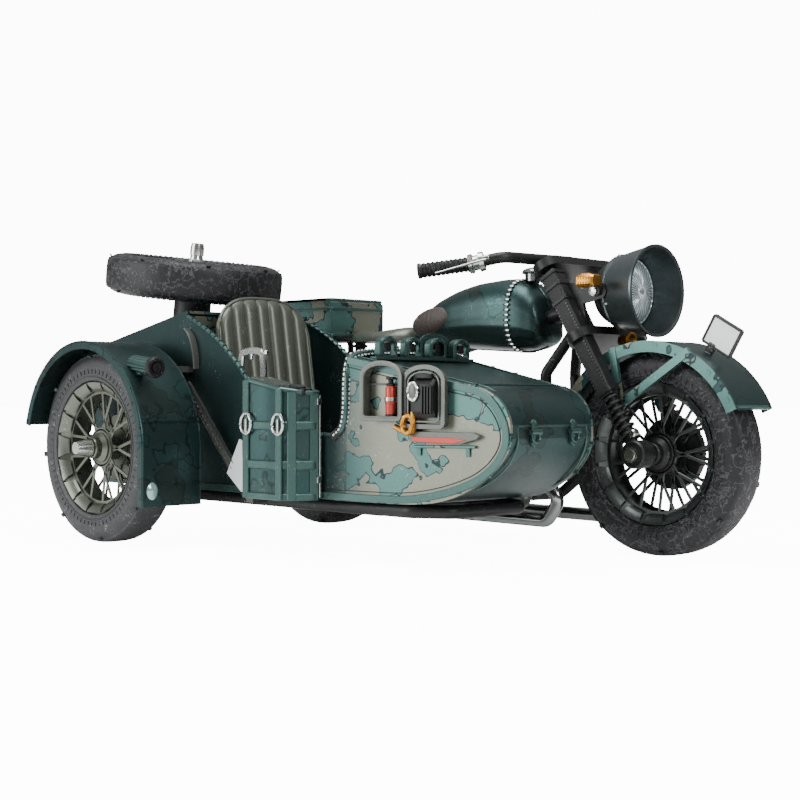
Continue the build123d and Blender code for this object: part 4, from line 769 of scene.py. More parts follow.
SHEET = 0.6
CAR_FENDER_R, CAR_FENDER_HALF, APRON_LOW = TYRE_R + 1.6, 6.9, 8.4
car_hub = HUBS["sidecar"]
car_arc = arc(car_hub, CAR_FENDER_R, 168, 0, 90)
apron = car_hub + np.array([[CAR_FENDER_R, 0, dz] for dz in np.linspace(-0.6, APRON_LOW - TYRE_R, 12)])
car_route = np.vstack([car_arc, apron])
rim_bead = [(SHEET + 0.05, hand * (CAR_FENDER_HALF - 0.25)) for hand in (-1, 1)]
fender_parts = [carry(car_route, channel(CAR_FENDER_HALF, SHEET, 1.0), (0, 1, 0))]
for height, across in rim_bead:
    fender_out = np.vstack([unit(car_arc - car_hub), np.tile([[1.0, 0, 0]], (12, 1))])
    line = car_route + fender_out * (height - 0.12)
    fender_parts.append(tube(line + (0, across, 0), 0.16, 8))
front_x = car_hub[0] + CAR_FENDER_R + SHEET
for height in (24.6, 12.6):
    fender_parts.append(block((front_x, car_hub[1], height), (0.3, 2 * CAR_FENDER_HALF - 0.6, 0.32)))
    studs = np.array([[front_x + 0.05, car_hub[1] + dy, height + 0.9] for dy in (-5.6, -4.9, 4.9, 5.6)])
    fender_parts.append(copies_at(turned([(0, 0.22), (0.2, 0.16)], (0, 0, 0), (1, 0, 0), 10), studs))
for hand in (-1, 1):
    fender_parts.append(on_arc(car_hub, CAR_FENDER_R, range(12, 168, 22), hand * (CAR_FENDER_HALF - 0.1),
                               (1.1, 0.5, 0.45), 0.1))
piece("sidecar_fender_sheet", fender_parts, dark_and_shaded_camo, "chassis", ["sidecar_fender"])

# %% [markdown]
# The front fender is the same channel on a smaller arc. Bands and small tabs lie along the edges.

# %% Front and rear fenders
front_hub = HUBS["front"]
FRONT_FENDER_R, FRONT_FENDER_HALF = TYRE_R + 1.2, 5.9
front_route = arc(front_hub, FRONT_FENDER_R, 158, 24, 96)
piece("front_fender_sheet", [carry(front_route, channel(FRONT_FENDER_HALF, SHEET, 0.2), (0, 1, 0))],
      dark_and_shaded_camo, "steering", ["front_fender"])
band = np.array([(-1.5, -0.16), (0.62, -0.16), (0.62, 0.16), (-1.5, 0.16)])
band_parts = []
for hand in (-1, 1):
    edge = hand * (FRONT_FENDER_HALF - 0.02)
    band_parts.append(carry(front_route + (0, edge, 0), band, (0, 1, 0)))
    band_parts.append(on_arc(front_hub, FRONT_FENDER_R, range(30, 158, 18), edge * 1.01, (1.2, 0.42, 0.5),
                             -0.1))
for angle in (25.0, 157.0):
    turn = math.radians(angle)
    foot = front_hub + (FRONT_FENDER_R + 0.55) * np.array([math.cos(turn), 0, math.sin(turn)])
    band_parts.append(block(foot, (0.4, 2 * FRONT_FENDER_HALF - 1.0, 0.5),
                            (math.cos(turn), 0, math.sin(turn)),
                            (-math.sin(turn), 0, math.cos(turn))))
piece("front_fender_bands", band_parts, camo, "steering")

rear_hub = HUBS["rear"]
rear_route = arc(rear_hub, TYRE_R + 1.2, 172, 35, 96)
rear_parts = []
for hand in (-1, 1):
    rear_parts.append(carry(rear_route + (0, hand * 5.3, 0), band * (0.8, 1), (0, 1, 0)))
    rear_parts.append(on_arc(rear_hub, TYRE_R + 1.2, range(40, 172, 20), hand * 5.32, (1.2, 0.42, 0.5),
                             -0.1))
piece("rear_fender_bands", rear_parts, camo, "chassis")

# %% [markdown]
# ## Sidecar body
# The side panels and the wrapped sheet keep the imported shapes. What makes them look folded are the
# strips: a flange along the panel's edge, a thin pressed line beside it, and tabs through slots.
# They follow the body's outline, which is a flat floor, a bullet nose, a sloping cowl and a tail.

# %% Body outline
CAR_HALF, NOSE_HALF, NOSE_X, COCKPIT_FRONT, COCKPIT_BACK = 16.0, 11.0, 50.8, 17.0, -30.0
CAR_FLOOR, SILL, COWL_BACK_Z, COWL_NOSE_Z, TAIL_TOP = 10.8, 22.5, 36.5, 31.2, 46.5


def hermite(points, slopes, count=24):
    """A smooth line through points with a given direction at each: a cubic between neighbours."""
    points, slopes = np.asarray(points, float), np.asarray(slopes, float)
    t = np.linspace(0, 1, count, endpoint=False)[:, None]
    run = np.linalg.norm(np.diff(points, axis=0), axis=1)[:, None, None]
    a, b = points[:-1, None], points[1:, None]
    u, v = unit(slopes[:-1])[:, None] * run, unit(slopes[1:])[:, None] * run
    line = (2 * t**3 - 3 * t**2 + 1) * a + (t**3 - 2 * t**2 + t) * u
    line = line + (3 * t**2 - 2 * t**3) * b + (t**3 - t**2) * v
    return np.vstack([line.reshape(-1, points.shape[1]), points[-1:]])


nose_line = hermite([(26, CAR_FLOOR), (43.5, 14.2), (NOSE_X, 22.5), (44, COWL_NOSE_Z)],
                    [(1, 0), (1, 0.42), (0.05, 1), (-1, 0.2)])
cowl_line = np.vstack([nose_line, [(COCKPIT_FRONT + 0.6, COWL_BACK_Z)]])
edge_line = np.vstack([[(8.0, CAR_FLOOR)], cowl_line])


def half_width(x):
    """Half the body's width at a distance along it."""
    share = np.clip((np.asarray(x, float) - COCKPIT_FRONT) / (NOSE_X - COCKPIT_FRONT), 0, None)
    return CAR_HALF - (CAR_HALF - NOSE_HALF) * share


TAPER = (CAR_HALF - NOSE_HALF) / (NOSE_X - COCKPIT_FRONT)


def inside(line, inset):
    """A line in the body's side view moved towards the body's inside."""
    forward = unit(np.gradient(line, axis=0))
    return line + inset * np.stack([-forward[:, 1], forward[:, 0]], axis=-1)


def on_panel(line, hand, lift):
    """Points of the side view put on the right (-1) or the left (1) panel's outer face."""
    y = CAR_Y + hand * (half_width(line[:, 0]) + lift)
    return np.stack([line[:, 0], y, line[:, 1]], axis=-1)


print("outline points", len(edge_line), "taper", round(TAPER, 3))

# %% [markdown]
# Strips with folded tabs run round each side panel, and a thin dark line runs inside its edge.

# %% Flange strips and tabs on the side panels
flange_parts, line_parts = [], []
for hand in (-1, 1):
    out = (TAPER, hand, 0)
    rim_line = even(inside(edge_line, 0.75), 120)
    flange_parts.append(carry(on_panel(rim_line, hand, 0.14), flat_outline(1.3, 0.32), out))
    line_parts.append(carry(on_panel(even(inside(edge_line, 1.9), 120), hand, 0.04),
                            flat_outline(0.16, 0.16), out))
    low = even(np.array([(-58.0, CAR_FLOOR + 0.7), (8.0, CAR_FLOOR + 0.7)]), 12)
    flange_parts.append(carry(on_panel(low, hand, 0.14), flat_outline(1.3, 0.32), out))
    spots = even(inside(edge_line, 0.2), 14)[1:-1]
    tabs = block((0, 0, 0), (1.2, 0.45, 0.5), (1, 0, 0), (0, 0, 1))
    places = on_panel(spots, hand, -0.15)
    flange_parts.append(copies_at(tabs, places))
piece("panel_flanges", flange_parts, teal_sheet, "chassis")
piece("panel_lines", line_parts, black_metal, "chassis")

# %% [markdown]
# The wrapped sheet runs over the cowl and round the nose. Two thin pressed lines follow its edges,
# one crosses it at the latches, and each latch is a strap with a knuckle and a loop.

# %% Nose lines and latches
wrap_line = even(inside(cowl_line, -0.05), 110)
wrap_parts = []
for hand in (-1, 1):
    y = CAR_Y + hand * (half_width(wrap_line[:, 0]) - 1.9)
    wrap_parts.append(tube(np.stack([wrap_line[:, 0], y, wrap_line[:, 1]], axis=-1), 0.17, 8))
cross_y = np.linspace(-9.2, 9.2, 12)
wrap_parts.append(tube(np.stack([np.full(12, NOSE_X + 0.02), CAR_Y + cross_y, np.full(12, 24.6)],
                                axis=-1), 0.15, 8))
cross_y = np.linspace(-11.0, 11.0, 12)
wrap_parts.append(tube(np.stack([np.full(12, 43.0), CAR_Y + cross_y, np.full(12, 31.5)], axis=-1), 0.15, 8))
piece("nose_pressed_lines", wrap_parts, teal_sheet, "chassis")
latch_parts, rivet = [], turned([(0, 0.28), (0.22, 0.2)], (0, 0, 0), (1, 0, 0), 10)
for place in (-5.2, 5.2):
    y = CAR_Y + place
    latch_parts.append(block((NOSE_X + 0.1, y, 23.4), (0.6, 1.5, 4.6)))
    latch_parts.append(tube([(NOSE_X + 0.55, y - 1.3, 23.6), (NOSE_X + 0.55, y + 1.3, 23.6)], 0.5, 12))
    bail = [(NOSE_X + 0.5, y - 0.9, 23.6), (NOSE_X + 0.75, y - 0.9, 21.9),
            (NOSE_X + 0.75, y + 0.9, 21.9), (NOSE_X + 0.5, y + 0.9, 23.6)]
    latch_parts.append(tube(soften(bail, 2), 0.22, 8))
    heads = np.array([[NOSE_X + 0.35, y, 25.2], [NOSE_X + 0.3, y, 21.6]])
    latch_parts.append(copies_at(rivet, heads))
piece("nose_latch_set", latch_parts, teal_sheet, "chassis", ["nose_latches"])

# %% [markdown]
# Round the cockpit runs a black roll with two rows of white stitches, and the cut edge of the panel
# behind it is laced. The roll is a tube on a path with soft corners. A stitch is a tiny block, set
# on the tube at two angles round it and repeated evenly along the path.

# %% Cockpit roll, stitches and laced rim
ROLL_Y, ROLL_X, ROLL_R = CAR_HALF - 0.3, COCKPIT_FRONT - 0.4, 1.0
roll_corners = np.array([
    (ROLL_X - 3.2, -ROLL_Y, SILL - 0.4), (ROLL_X, -ROLL_Y, SILL + 1.6), (ROLL_X, -ROLL_Y, 34.4),
    (ROLL_X, -ROLL_Y + 1.6, COWL_BACK_Z + 0.7), (ROLL_X, ROLL_Y - 1.6, COWL_BACK_Z + 0.7),
    (ROLL_X, ROLL_Y, 34.4), (ROLL_X, ROLL_Y, SILL + 1.6), (ROLL_X - 3.2, ROLL_Y, SILL - 0.4),
]) + (0, CAR_Y, 0)
roll_line = even(soften(roll_corners, 3), 150)
piece("cockpit_roll", [tube(roll_line, ROLL_R, 16)], black_metal, "chassis", ["coaming"])
stitch_line = even(roll_line, 74)[1:-1]
forward = unit(np.gradient(stitch_line, axis=0))
outward = unit(np.cross(forward, (1.0, 0, 0)))
outward = outward * np.sign(np.sum(outward * (stitch_line - (ROLL_X, CAR_Y, 27.0)), axis=1))[:, None]
stitch = block((0, 0, 0), (0.3, 0.3, 0.5), (1, 0, 0), (0, 0, 1))
stitch_parts = []
for lift in (12, 78):
    angle = math.radians(lift)
    away = math.cos(angle) * outward + math.sin(angle) * np.array([1.0, 0, 0])
    turns = np.stack([away, np.cross(forward, away), forward], axis=-1)
    stitch_parts.append(repeated(stitch, stitch_line + 0.97 * away, turns))
piece("cockpit_stitches", stitch_parts, white_plate, "chassis")
band_away = math.cos(math.radians(45)) * outward + math.sin(math.radians(45)) * np.array([1.0, 0, 0])
piece("cockpit_roll_band", [tube(stitch_line + 0.62 * band_away, 0.5, 10)], teal_sheet, "chassis")

sill_line = even(np.vstack([
    hermite([(COCKPIT_BACK, TAIL_TOP - 1.2), (-12.0, 33.4), (-4.2, SILL + 0.2)],
            [(1, -0.4), (1, -1.1), (0.7, -1)], 30),
    [(-2.4, SILL), (COCKPIT_FRONT - 4.0, SILL)]]), 64)
sill_parts = []
for hand in (-1, 1):
    y = CAR_Y + hand * (CAR_HALF - 0.3)
    rim = np.stack([sill_line[:, 0], np.full(64, y), sill_line[:, 1]], axis=-1)
    sill_parts.append(carry(rim, flat_outline(0.7, 0.9), (0, hand, 0)))
    lace = block((0, 0, 0), (0.7, 1.15, 0.5), (1, 0, 0), (0, 0, 1))
    sill_parts.append(copies_at(lace, rim[2:-2:2] + (0, hand * 0.1, 0.15)))
piece("cockpit_laced_rim", sill_parts, teal_sheet, "chassis")

# %% [markdown]
# ## Seats
# The seat back and the seat are pressed from sheet to look like channelled leather. The channels
# are rounded ribs: the height over the plate is the square root of a share that falls to nothing at
# each seam. Both are closed shells, made from a front grid and a back grid joined at their sides.

# %% Seat back and seat
SEAT_HALF, CHANNELS = 12.0, 7


def rib(position, count, height):
    """Rounded ribs between seams: position runs from 0 to 1 over all of the ribs."""
    share = np.abs(2 * ((np.asarray(position) * count) % 1.0) - 1)
    return height * np.sqrt(np.clip(1 - share ** 2.2, 0, 1))


def seat_back_parts():
    """Columns run from side to side, and each goes from the seat up to the round top."""
    side = np.linspace(-1, 1, 141)
    top = 30.0 + 8.4 * np.clip(1 - np.abs(side) ** 3.0, 0, 1) ** 0.5
    rise = np.linspace(0, 1, 60) ** 0.85
    lean = unit(np.array([-6.0, 0.0, 38.0]))
    facing = np.array([lean[2], 0.0, -lean[0]])
    foot = np.array([-20.5, CAR_Y, CAR_FLOOR + SHEET])
    half_across = np.array([0, SEAT_HALF, 0])
    plate = foot + rise[:, None, None] * top[None, :, None] * lean + side[None, :, None] * half_across
    border = np.clip((1 - np.abs(side[None])) / 0.09, 0, 1) * np.clip((1 - rise[:, None]) / 0.05, 0, 1)
    height = 0.25 + border ** 0.5 * rib((side[None] + 0.93) / 1.86, CHANNELS, 0.85)
    front = plate + height[..., None] * facing
    back = plate - 0.7 * facing
    shell = skin(np.concatenate([front, back[:, ::-1]], axis=1), wrap=True, fill_ends=True)
    edge = foot + top[:, None] * lean + side[:, None] * half_across + 0.1 * facing
    climb, fall = np.linspace(0.06, 1, 30)[:, None], np.linspace(1, 0.06, 30)[:, None]
    low = climb * (edge[0] - foot + half_across) + foot - half_across
    high = fall * (edge[-1] - foot - half_across) + foot + half_across
    piping = even(np.vstack([low, edge[1:-1], high]), 170)
    return [shell, tube(piping, 0.42, 10)]


def seat_parts():
    """The seat's top is crowned: its height falls with the sixth power towards each edge."""
    u, v = np.meshgrid(np.linspace(-1, 1, 60), np.linspace(-1, 1, 121), indexing="ij")
    crown = (1 - np.abs(u) ** 6) * (1 - np.abs(v) ** 6)
    height = 4.6 + 1.3 * crown ** 0.5 + rib((v + 0.94) / 1.88, CHANNELS, 0.45) * crown ** 0.5
    pull = 1 - 0.02 * (1 - crown)
    x, y = -9.0 + 9.9 * u * pull, CAR_Y + 12.3 * v * pull
    top = np.stack([x, y, CAR_FLOOR + SHEET + height], axis=-1)
    base = np.stack([x, y, np.full_like(x, CAR_FLOOR + SHEET)], axis=-1)
    return [skin(np.concatenate([top, base[:, ::-1]], axis=1), wrap=True, fill_ends=True)]


piece("seat_back_sheet", seat_back_parts(), seat_sheet, "chassis", ["seat_back"])
piece("seat_sheet_cushion", seat_parts(), seat_sheet, "chassis", ["seat_cushion"])

# %% [markdown]
# ## Side can and grab handle
# The can has raised bands folded round a slightly smaller body, with two bright rings, clips and a
# square cap. Its plan is a loop of points: the body is that loop drawn in and raised to a slanted
# top, and a band is a flat bar carried round the loop.

# %% Side can
CAN_PLAN = np.array([(-2.6, -30.8), (10.6, -30.8), (10.9, -32.2), (9.6, -35.6), (7.4, -37.6),
                     (-2.4, -37.65), (-3.3, -36.6), (-3.3, -31.4)])
CAN_LOW, CAN_LOOP = 10.6, even(np.vstack([CAN_PLAN, CAN_PLAN[:1]]), 65)[:-1]
can_loop = soften(CAN_LOOP, 1, closed=True)
can_middle = can_loop.mean(axis=0)


def can_top(x):
    """The height of the slanted top at a distance along the can."""
    return 33.3 - 0.1915 * (np.asarray(x) + 5.4)


def can_ring(grow, height=None, share=None):
    """The plan loop drawn in or out, at one height or at a share of the way up to the top."""
    away = unit(can_loop - can_middle)
    ring = can_loop + grow * away
    top = can_top(ring[:, 0])
    z = np.full(len(ring), height) if share is None else CAN_LOW + share * (top - CAN_LOW)
    return np.column_stack([ring, z])


walls = np.stack([can_ring(-0.5, share=s) for s in np.linspace(0.0, 0.985, 24)])
lid = np.stack([can_ring(-0.5 - 2.8 * s, share=1.0) + (0, 0, 0.35 * s ** 0.5 - 0.25)
                for s in np.linspace(0.1, 1.0, 6)])
can_body = [skin(np.concatenate([walls, lid]), wrap=True, fill_ends=True)]
piece("can_body_sheet", can_body, dark_and_shaded_camo, "chassis", ["side_can"])
bands = []
for height, tall in ((11.3, 1.3), (17.0, 1.7), (24.1, 1.6)):
    ring = can_ring(-0.3, height)
    bands.append(carry(ring, flat_outline(0.6, tall), (0, 0, 1), closed=True))
bands.append(carry(can_ring(-0.35, share=0.985), flat_outline(0.55, 0.9), (0, 0, 1), closed=True))
for x, y, across in ((-2.3, -37.5, (1, 0)), (7.0, -37.5, (1, 0)), (9.1, -36.3, (0.45, 0.9)),
                     (10.5, -32.2, (0.3, 0.95))):
    wide = np.array([across[0], across[1], 0.0])
    rise = np.array([(x, y, CAN_LOW + 0.2), (x, y, float(can_top(x)) - 0.4)])
    bands.append(carry(rise, flat_outline(1.7, 0.5), np.cross((0, 0, 1.0), wide)))
piece("can_bands", bands, teal_sheet, "chassis", bevel=0.08)
creases = [bar((-1.8, -36.6 + k * 1.15, float(can_top(-1.8)) + 0.12),
               (6.0, -36.6 + k * 1.15, float(can_top(6.0)) + 0.12),
               0.3, 0.25, (0, 0, 1)) for k in range(5)]
piece("can_top_creases", creases, grey_sheet, "chassis")
can_cap_curve = [(0, 1.75), (0.9, 1.75), (1.0, 1.55), (1.5, 1.55)]
cap_parts = [turned(can_cap_curve, (7.4, -33.6, 29.9), (0.19, 0, 1), 8),
             block((9.5, -33.4, 30.2), (1.3, 2.4, 1.2))]
piece("can_cap_block", cap_parts, black_metal, "chassis", ["can_cap"], bevel=0.1)
loop_turn = np.linspace(0, 2 * math.pi, 40, endpoint=False)
rings = []
for x in (-1.8, 7.2):
    oval = np.stack([x + 1.45 * np.cos(loop_turn), np.full(40, -38.0), 24.4 + 1.85 * np.sin(loop_turn)],
                    axis=-1)
    rings += [tube(oval, 0.28, 10, closed=True), block((x, -37.95, 23.8), (0.5, 0.35, 2.9))]
for z in (28.4, 14.4):
    rings.append(block((11.0, -31.6, z), (0.5, 0.9, 1.2)))
rings.append(carry(np.array([(10.95, -31.1, 11.2), (10.95, -31.1, 29.6)]), flat_outline(0.5, 0.3),
                   (1, 0, 0)))
piece("can_rings_and_clips", rings, bright_metal, "chassis", ["can_fittings"])
rack = [block((3.6, -30.5, z), (14.0, 0.5, 2.0)) for z in (16.0, 21.0)]
piece("can_rack_bars", rack, black_metal, "chassis")

# %% [markdown]
# The handle is one flat strip carried along a rounded U, with small blocks where it is folded.

# %% Grab handle
HANDLE_Y = CAR_Y - CAR_HALF + SHEET + 0.35
handle_bends = np.array([(-14.0, HANDLE_Y, 23.2), (-14.0, HANDLE_Y, 36.6), (-13.2, HANDLE_Y, 38.0),
                         (-7.9, HANDLE_Y, 38.0), (-7.1, HANDLE_Y, 36.6), (-7.1, HANDLE_Y, 23.2)])
handle_line = even(soften(handle_bends, 2), 60)
handle = [carry(handle_line, flat_outline(1.5, 0.9), (0, 1, 0)),
          block((-10.6, HANDLE_Y, 38.2), (1.7, 0.7, 0.8)),
          block((-10.6, HANDLE_Y - 0.2, 37.2), (0.7, 0.4, 1.8)),
          block((-6.6, HANDLE_Y, 37.7), (1.2, 0.7, 0.8))]
piece("grab_handle_bar", handle, bright_metal, "chassis", ["grab_handle"])

# %% [markdown]
# ## Tools on the body's side
# Two arched frames stand out from the right panel. One holds a red extinguisher and the other a
# lantern. A brass roll and a folding blade hang below. They are all worked out in the panel's own
# plane: along the panel, up, and outwards.

# %% Panel plane and arched frames
panel_along = unit(np.array([1.0, TAPER, 0.0]))
panel_out = np.array([panel_along[1], -panel_along[0], 0.0])
PANEL_UP = np.array([0.0, 0.0, 1.0])


def on_side(x, z, flat, lift=0.0):
    """Points given as (along, up) or (along, up, out) from a spot on the tapering right panel."""
    flat = np.atleast_2d(np.asarray(flat, float))
    foot = np.array([x, CAR_Y - float(half_width(x)), z])
    out = flat[:, 2] if flat.shape[1] > 2 else np.zeros(len(flat))
    return foot + flat[:, :1] * panel_along + flat[:, 1:2] * PANEL_UP + (out + lift)[:, None] * panel_out


def arch(width, height, count=72):
    """A closed line: a rectangle whose top is an arch, half a superellipse."""
    w, h = width / 2, height / 2
    turn = np.linspace(0, math.pi, 30)
    crown = np.stack([w * np.cos(turn), h - 0.62 * w + 0.62 * w * np.sin(turn) ** 0.85], axis=-1)
    base = np.array([(-w, -h + 0.4), (-w + 0.4, -h), (w - 0.4, -h), (w, -h + 0.4)])
    loop = np.vstack([crown, base])
    return even(np.vstack([loop, loop[:1]]), count + 1)[:-1]


RACK_X, RACK_Z = 26.0, 30.4
FRAME_PITCH = 8.6
rack_parts = [carry(on_side(RACK_X, RACK_Z, arch(7.9, 9.3), 1.1), flat_outline(0.55, 2.2, 0.1), panel_out,
                    closed=True),
              carry(on_side(RACK_X, RACK_Z, arch(8.3, 9.6), 2.05), flat_outline(0.9, 0.3), panel_out,
                    closed=True),
              carry(on_side(RACK_X, RACK_Z, [(-3.8, 1.2), (3.8, 1.2)], 0.5), flat_outline(0.25, 0.3),
                    panel_out)]
for size, lift, wide, deep in ((7.7, 0.8, 0.5, 1.6), (8.1, 1.5, 0.8, 0.3), (6.4, 1.5, 0.3, 0.3)):
    loop = on_side(RACK_X + FRAME_PITCH, RACK_Z - 1.0, arch(size, size + 2.0), lift)
    rack_parts.append(carry(loop, flat_outline(wide, deep, 0.1), panel_out, closed=True))
piece("tool_rack_frames", rack_parts, grey_sheet, "chassis", ["tool_rack"])
print("tool rack", len(rack_parts), "strips")

# %% [markdown]
# Each tool is placed on the panel by (along, up, out). A flat tool is its outline copied a little
# further out and closed at both ends.

# %% Lantern, extinguisher, brass roll and blade
LAMP_X, LAMP_UP = RACK_X + 8.8, RACK_Z - 1.0
BRASS_X, BRASS_Z = RACK_X + 5.6, 24.7
BLADE_X, BLADE_Z = RACK_X + 12.4, 22.6
bow_turn = np.linspace(0, math.pi, 16)
bail_line = np.stack([1.5 * np.cos(bow_turn) + 0.2, 3.9 + 0.9 * np.sin(bow_turn)], axis=-1)
case = [block(on_side(LAMP_X, LAMP_UP, [(0.2, -0.2)], 1.4)[0], (4.6, 2.8, 6.6), panel_along, PANEL_UP),
        block(on_side(LAMP_X, LAMP_UP, [(0.2, 3.5)], 1.4)[0], (3.4, 2.0, 0.9), panel_along, PANEL_UP),
        tube(on_side(LAMP_X, LAMP_UP, bail_line, 1.4), 0.22, 8)]
for k in range(4):
    case.append(block(on_side(LAMP_X, LAMP_UP, [(0.5 + 0.6 * k, -0.6)], 2.8)[0], (0.28, 0.6, 4.8),
                      panel_along, PANEL_UP))
piece("lantern_case", case, black_metal, "chassis", ["lantern"], bevel=0.12)
oval = np.linspace(0, 2 * math.pi, 40, endpoint=False)
rim_oval = on_side(LAMP_X, LAMP_UP, np.stack([-1.4 + 1.0 * np.cos(oval), 0.9 + 1.5 * np.sin(oval)],
                                             axis=-1), 3.0)
piece("lantern_rim", [tube(rim_oval, 0.25, 8, closed=True)], bright_metal, "chassis")
shares = np.linspace(1, 0.04, 8)
glass = np.stack([on_side(LAMP_X, LAMP_UP,
                          np.stack([-1.4 + s * np.cos(oval), 0.9 + 1.5 * s * np.sin(oval)], axis=-1),
                          2.9 + 0.35 * math.sqrt(1 - s * s * 0.98)) for s in shares])
piece("lantern_glass", [skin(glass, wrap=True, fill_ends=True)], grey_sheet, "chassis")

bottle = [(-3.1, 0.7), (-3.0, 0.9), (-1.3, 0.95), (-1.2, 1.05), (-0.6, 1.05), (-0.5, 0.95), (1.4, 0.95),
          (1.9, 0.7)]
spot = on_side(RACK_X + 1.6, RACK_Z - 1.0, [(0, 0)], 1.25)[0]
piece("extinguisher", [turned(bottle, spot, (0, 0, 1), 32)], red_sheet, "chassis",
      ["side_tools"])
piece("extinguisher_band", [turned([(-0.75, 1.1), (-0.1, 1.1)], spot, (0, 0, 1), 32)], bright_metal,
      "chassis")
neck = [(1.8, 0.75), (2.2, 0.8), (2.3, 0.45), (2.9, 0.45), (3.0, 0.9), (3.4, 0.8)]
piece("extinguisher_valve", [turned(neck, spot, (0, 0, 1), 24),
                             turned([(-4.0, 0.9), (-3.05, 1.0)], spot, (0, 0, 1), 24)], black_metal,
                             "chassis")
coil_turn = np.linspace(0, 2 * math.pi * 3, 110)
brass_line = np.stack([1.05 * np.cos(coil_turn), 1.5 * np.sin(coil_turn),
                      0.9 + 0.22 * coil_turn / math.pi], axis=-1)
roll = on_side(BRASS_X, BRASS_Z, brass_line)
hook_line = np.array([(-3.2, -0.4, 1.2), (-1.6, -1.2, 1.3), (0.4, -1.5, 1.3), (1.1, 0.2, 1.8),
                      (1.1, 2.2, 1.8)])
hook = on_side(BRASS_X, BRASS_Z, soften(hook_line, 3))
piece("brass_roll", [tube(roll, 0.42, 10), tube(hook, 0.5, 10)], brass, "chassis")
blade_line = np.array([(-7.0, 0.9), (5.6, 0.9), (7.2, 0.35), (6.6, -0.2), (3.4, -1.1), (-7.0, -0.9)])
blade = np.stack([on_side(BLADE_X, BLADE_Z, blade_line, lift) for lift in (0.15, 1.1)])
piece("blade_case", [skin(blade, wrap=True, fill_ends=True)], grey_sheet, "chassis",
      bevel=0.08)
red_line = np.array([(-6.6, 0.0), (1.6, -0.1), (4.6, -0.35), (2.2, -1.0), (-6.0, -0.85)])
red = np.stack([on_side(BLADE_X, BLADE_Z, red_line, lift) for lift in (1.05, 1.3)])
piece("blade_handle", [skin(red, wrap=True, fill_ends=True)], red_sheet, "chassis",
      bevel=0.05)
bar_line = [(-6.4, -1.7, 0.3), (6.0, -1.5, 0.3)]
posts = [carry(on_side(BLADE_X, BLADE_Z, bar_line), flat_outline(0.5, 0.5), panel_out)]
for x in (-5.6, 4.4):
    posts.append(carry(on_side(BLADE_X, BLADE_Z, [(x, -3.2, 0.15), (x, -1.6, 0.3)]),
                       flat_outline(0.8, 0.3), panel_out))
piece("blade_bracket", posts, camo, "chassis")
print("tools ready")

# %% [markdown]
# ## Marker lamp, strut and cowl loops
# The marker lamp is a fluted tube: its radius rises and falls fourteen times round. The strut is a
# dark perforated bar, and a plain white plate stands beside it on the wheel's side.

# %% Marker lamp and strut
lamp_turn = math.radians(44)
lamp_reach = CAR_FENDER_R + SHEET - 0.2
foot = car_hub + np.array([lamp_reach * math.cos(lamp_turn), -3.6, lamp_reach * math.sin(lamp_turn)])
lamp_start, lamp_stop = foot + (-1.4, 0, 2.0), foot + (5.3, 0, 1.2)
stops = np.linspace(0, 1, 12)
lamp_path = lamp_start + stops[:, None] * (lamp_stop - lamp_start)
flute_turn = np.linspace(0, 2 * math.pi, 112, endpoint=False)
flute_reach = 1.6 + 0.11 * np.cos(14 * flute_turn)
fluted = np.stack([flute_reach * np.cos(flute_turn), flute_reach * np.sin(flute_turn)], axis=-1)
piece("marker_lamp_body", [carry(lamp_path, fluted, (0, 1, 0)),
                           block(foot + (0.4, 0, 0.5), (2.2, 1.5, 1.6))],
      teal_sheet, "chassis", ["marker_lamps"])
lamp_way = unit(lamp_stop - lamp_start)
face = [(-0.3, 0.6), (-0.3, 2.05), (0.5, 2.05), (0.75, 1.8), (0.75, 1.35), (0.35, 1.25), (0.3, 0.9),
        (0.6, 0.8), (0.65, 0.15)]
piece("marker_lamp_face", [turned(face, lamp_stop, lamp_way, 48)], black_metal, "chassis")
oval_y, oval_z = car_hub[1] - CAR_FENDER_HALF + 2.2, APRON_LOW + 3.0
dish = np.stack([np.stack([np.full(40, front_x + 0.1 + 0.45 * (1 - s ** 2)),
                           oval_y + 1.25 * s * np.cos(oval),
                           oval_z + 1.65 * s * np.sin(oval)],
                           axis=-1) for s in (1.0, 1.0, 0.85, 0.6, 0.3, 0.05)])
dish[0, :, 0] = front_x - 0.05
piece("oval_reflector", [skin(dish, wrap=True, fill_ends=True)],
      finish("pale teal glass", shade(150, 186, 180), 0.6, 0.2),
      "chassis")

strut_turn = math.radians(38)
strut_top = np.array([car_hub[0] + CAR_FENDER_R * math.cos(strut_turn), car_hub[1] + CAR_FENDER_HALF + 0.35,
                      car_hub[2] + CAR_FENDER_R * math.sin(strut_turn)])
strut_foot = np.array([-9.0, CAR_Y - CAR_HALF - 0.9, 10.0])
strut_way = unit(strut_foot - strut_top)
strut_up = unit(np.cross(strut_way, (0, 1, 0)))
strut_parts = [carry(np.array([strut_top, strut_foot]), flat_outline(0.5, 2.1, 0.1), strut_up)]
for side_lift in (-0.95, 0.95):
    strut_edge = np.array([strut_top, strut_foot]) + side_lift * strut_up + (0, -0.3, 0)
    strut_parts.append(tube(strut_edge, 0.18, 8))
piece("perforated_strut", strut_parts, black_metal, "chassis")
hole_at = np.linspace(0.12, 0.9, 20)[:, None]
holes = strut_top + hole_at * (strut_foot - strut_top) + (0, -0.33, 0)
hole = block((0, 0, 0), (0.5, 0.12, 0.5), strut_way, (0, 1, 0))
piece("strut_holes", [copies_at(hole, holes)], grey_sheet, "chassis")
plate_line = np.array([(-14.6, 14.6), (-10.8, 21.2), (-10.0, 20.6), (-9.4, 11.4), (-10.2, 11.2)])
plate = np.stack([np.column_stack([plate_line[:, 0], np.full(5, y), plate_line[:, 1]])
                  for y in (-31.9, -32.3)])
piece("white_side_plate", [skin(plate, wrap=True, fill_ends=True)], white_plate, "chassis")
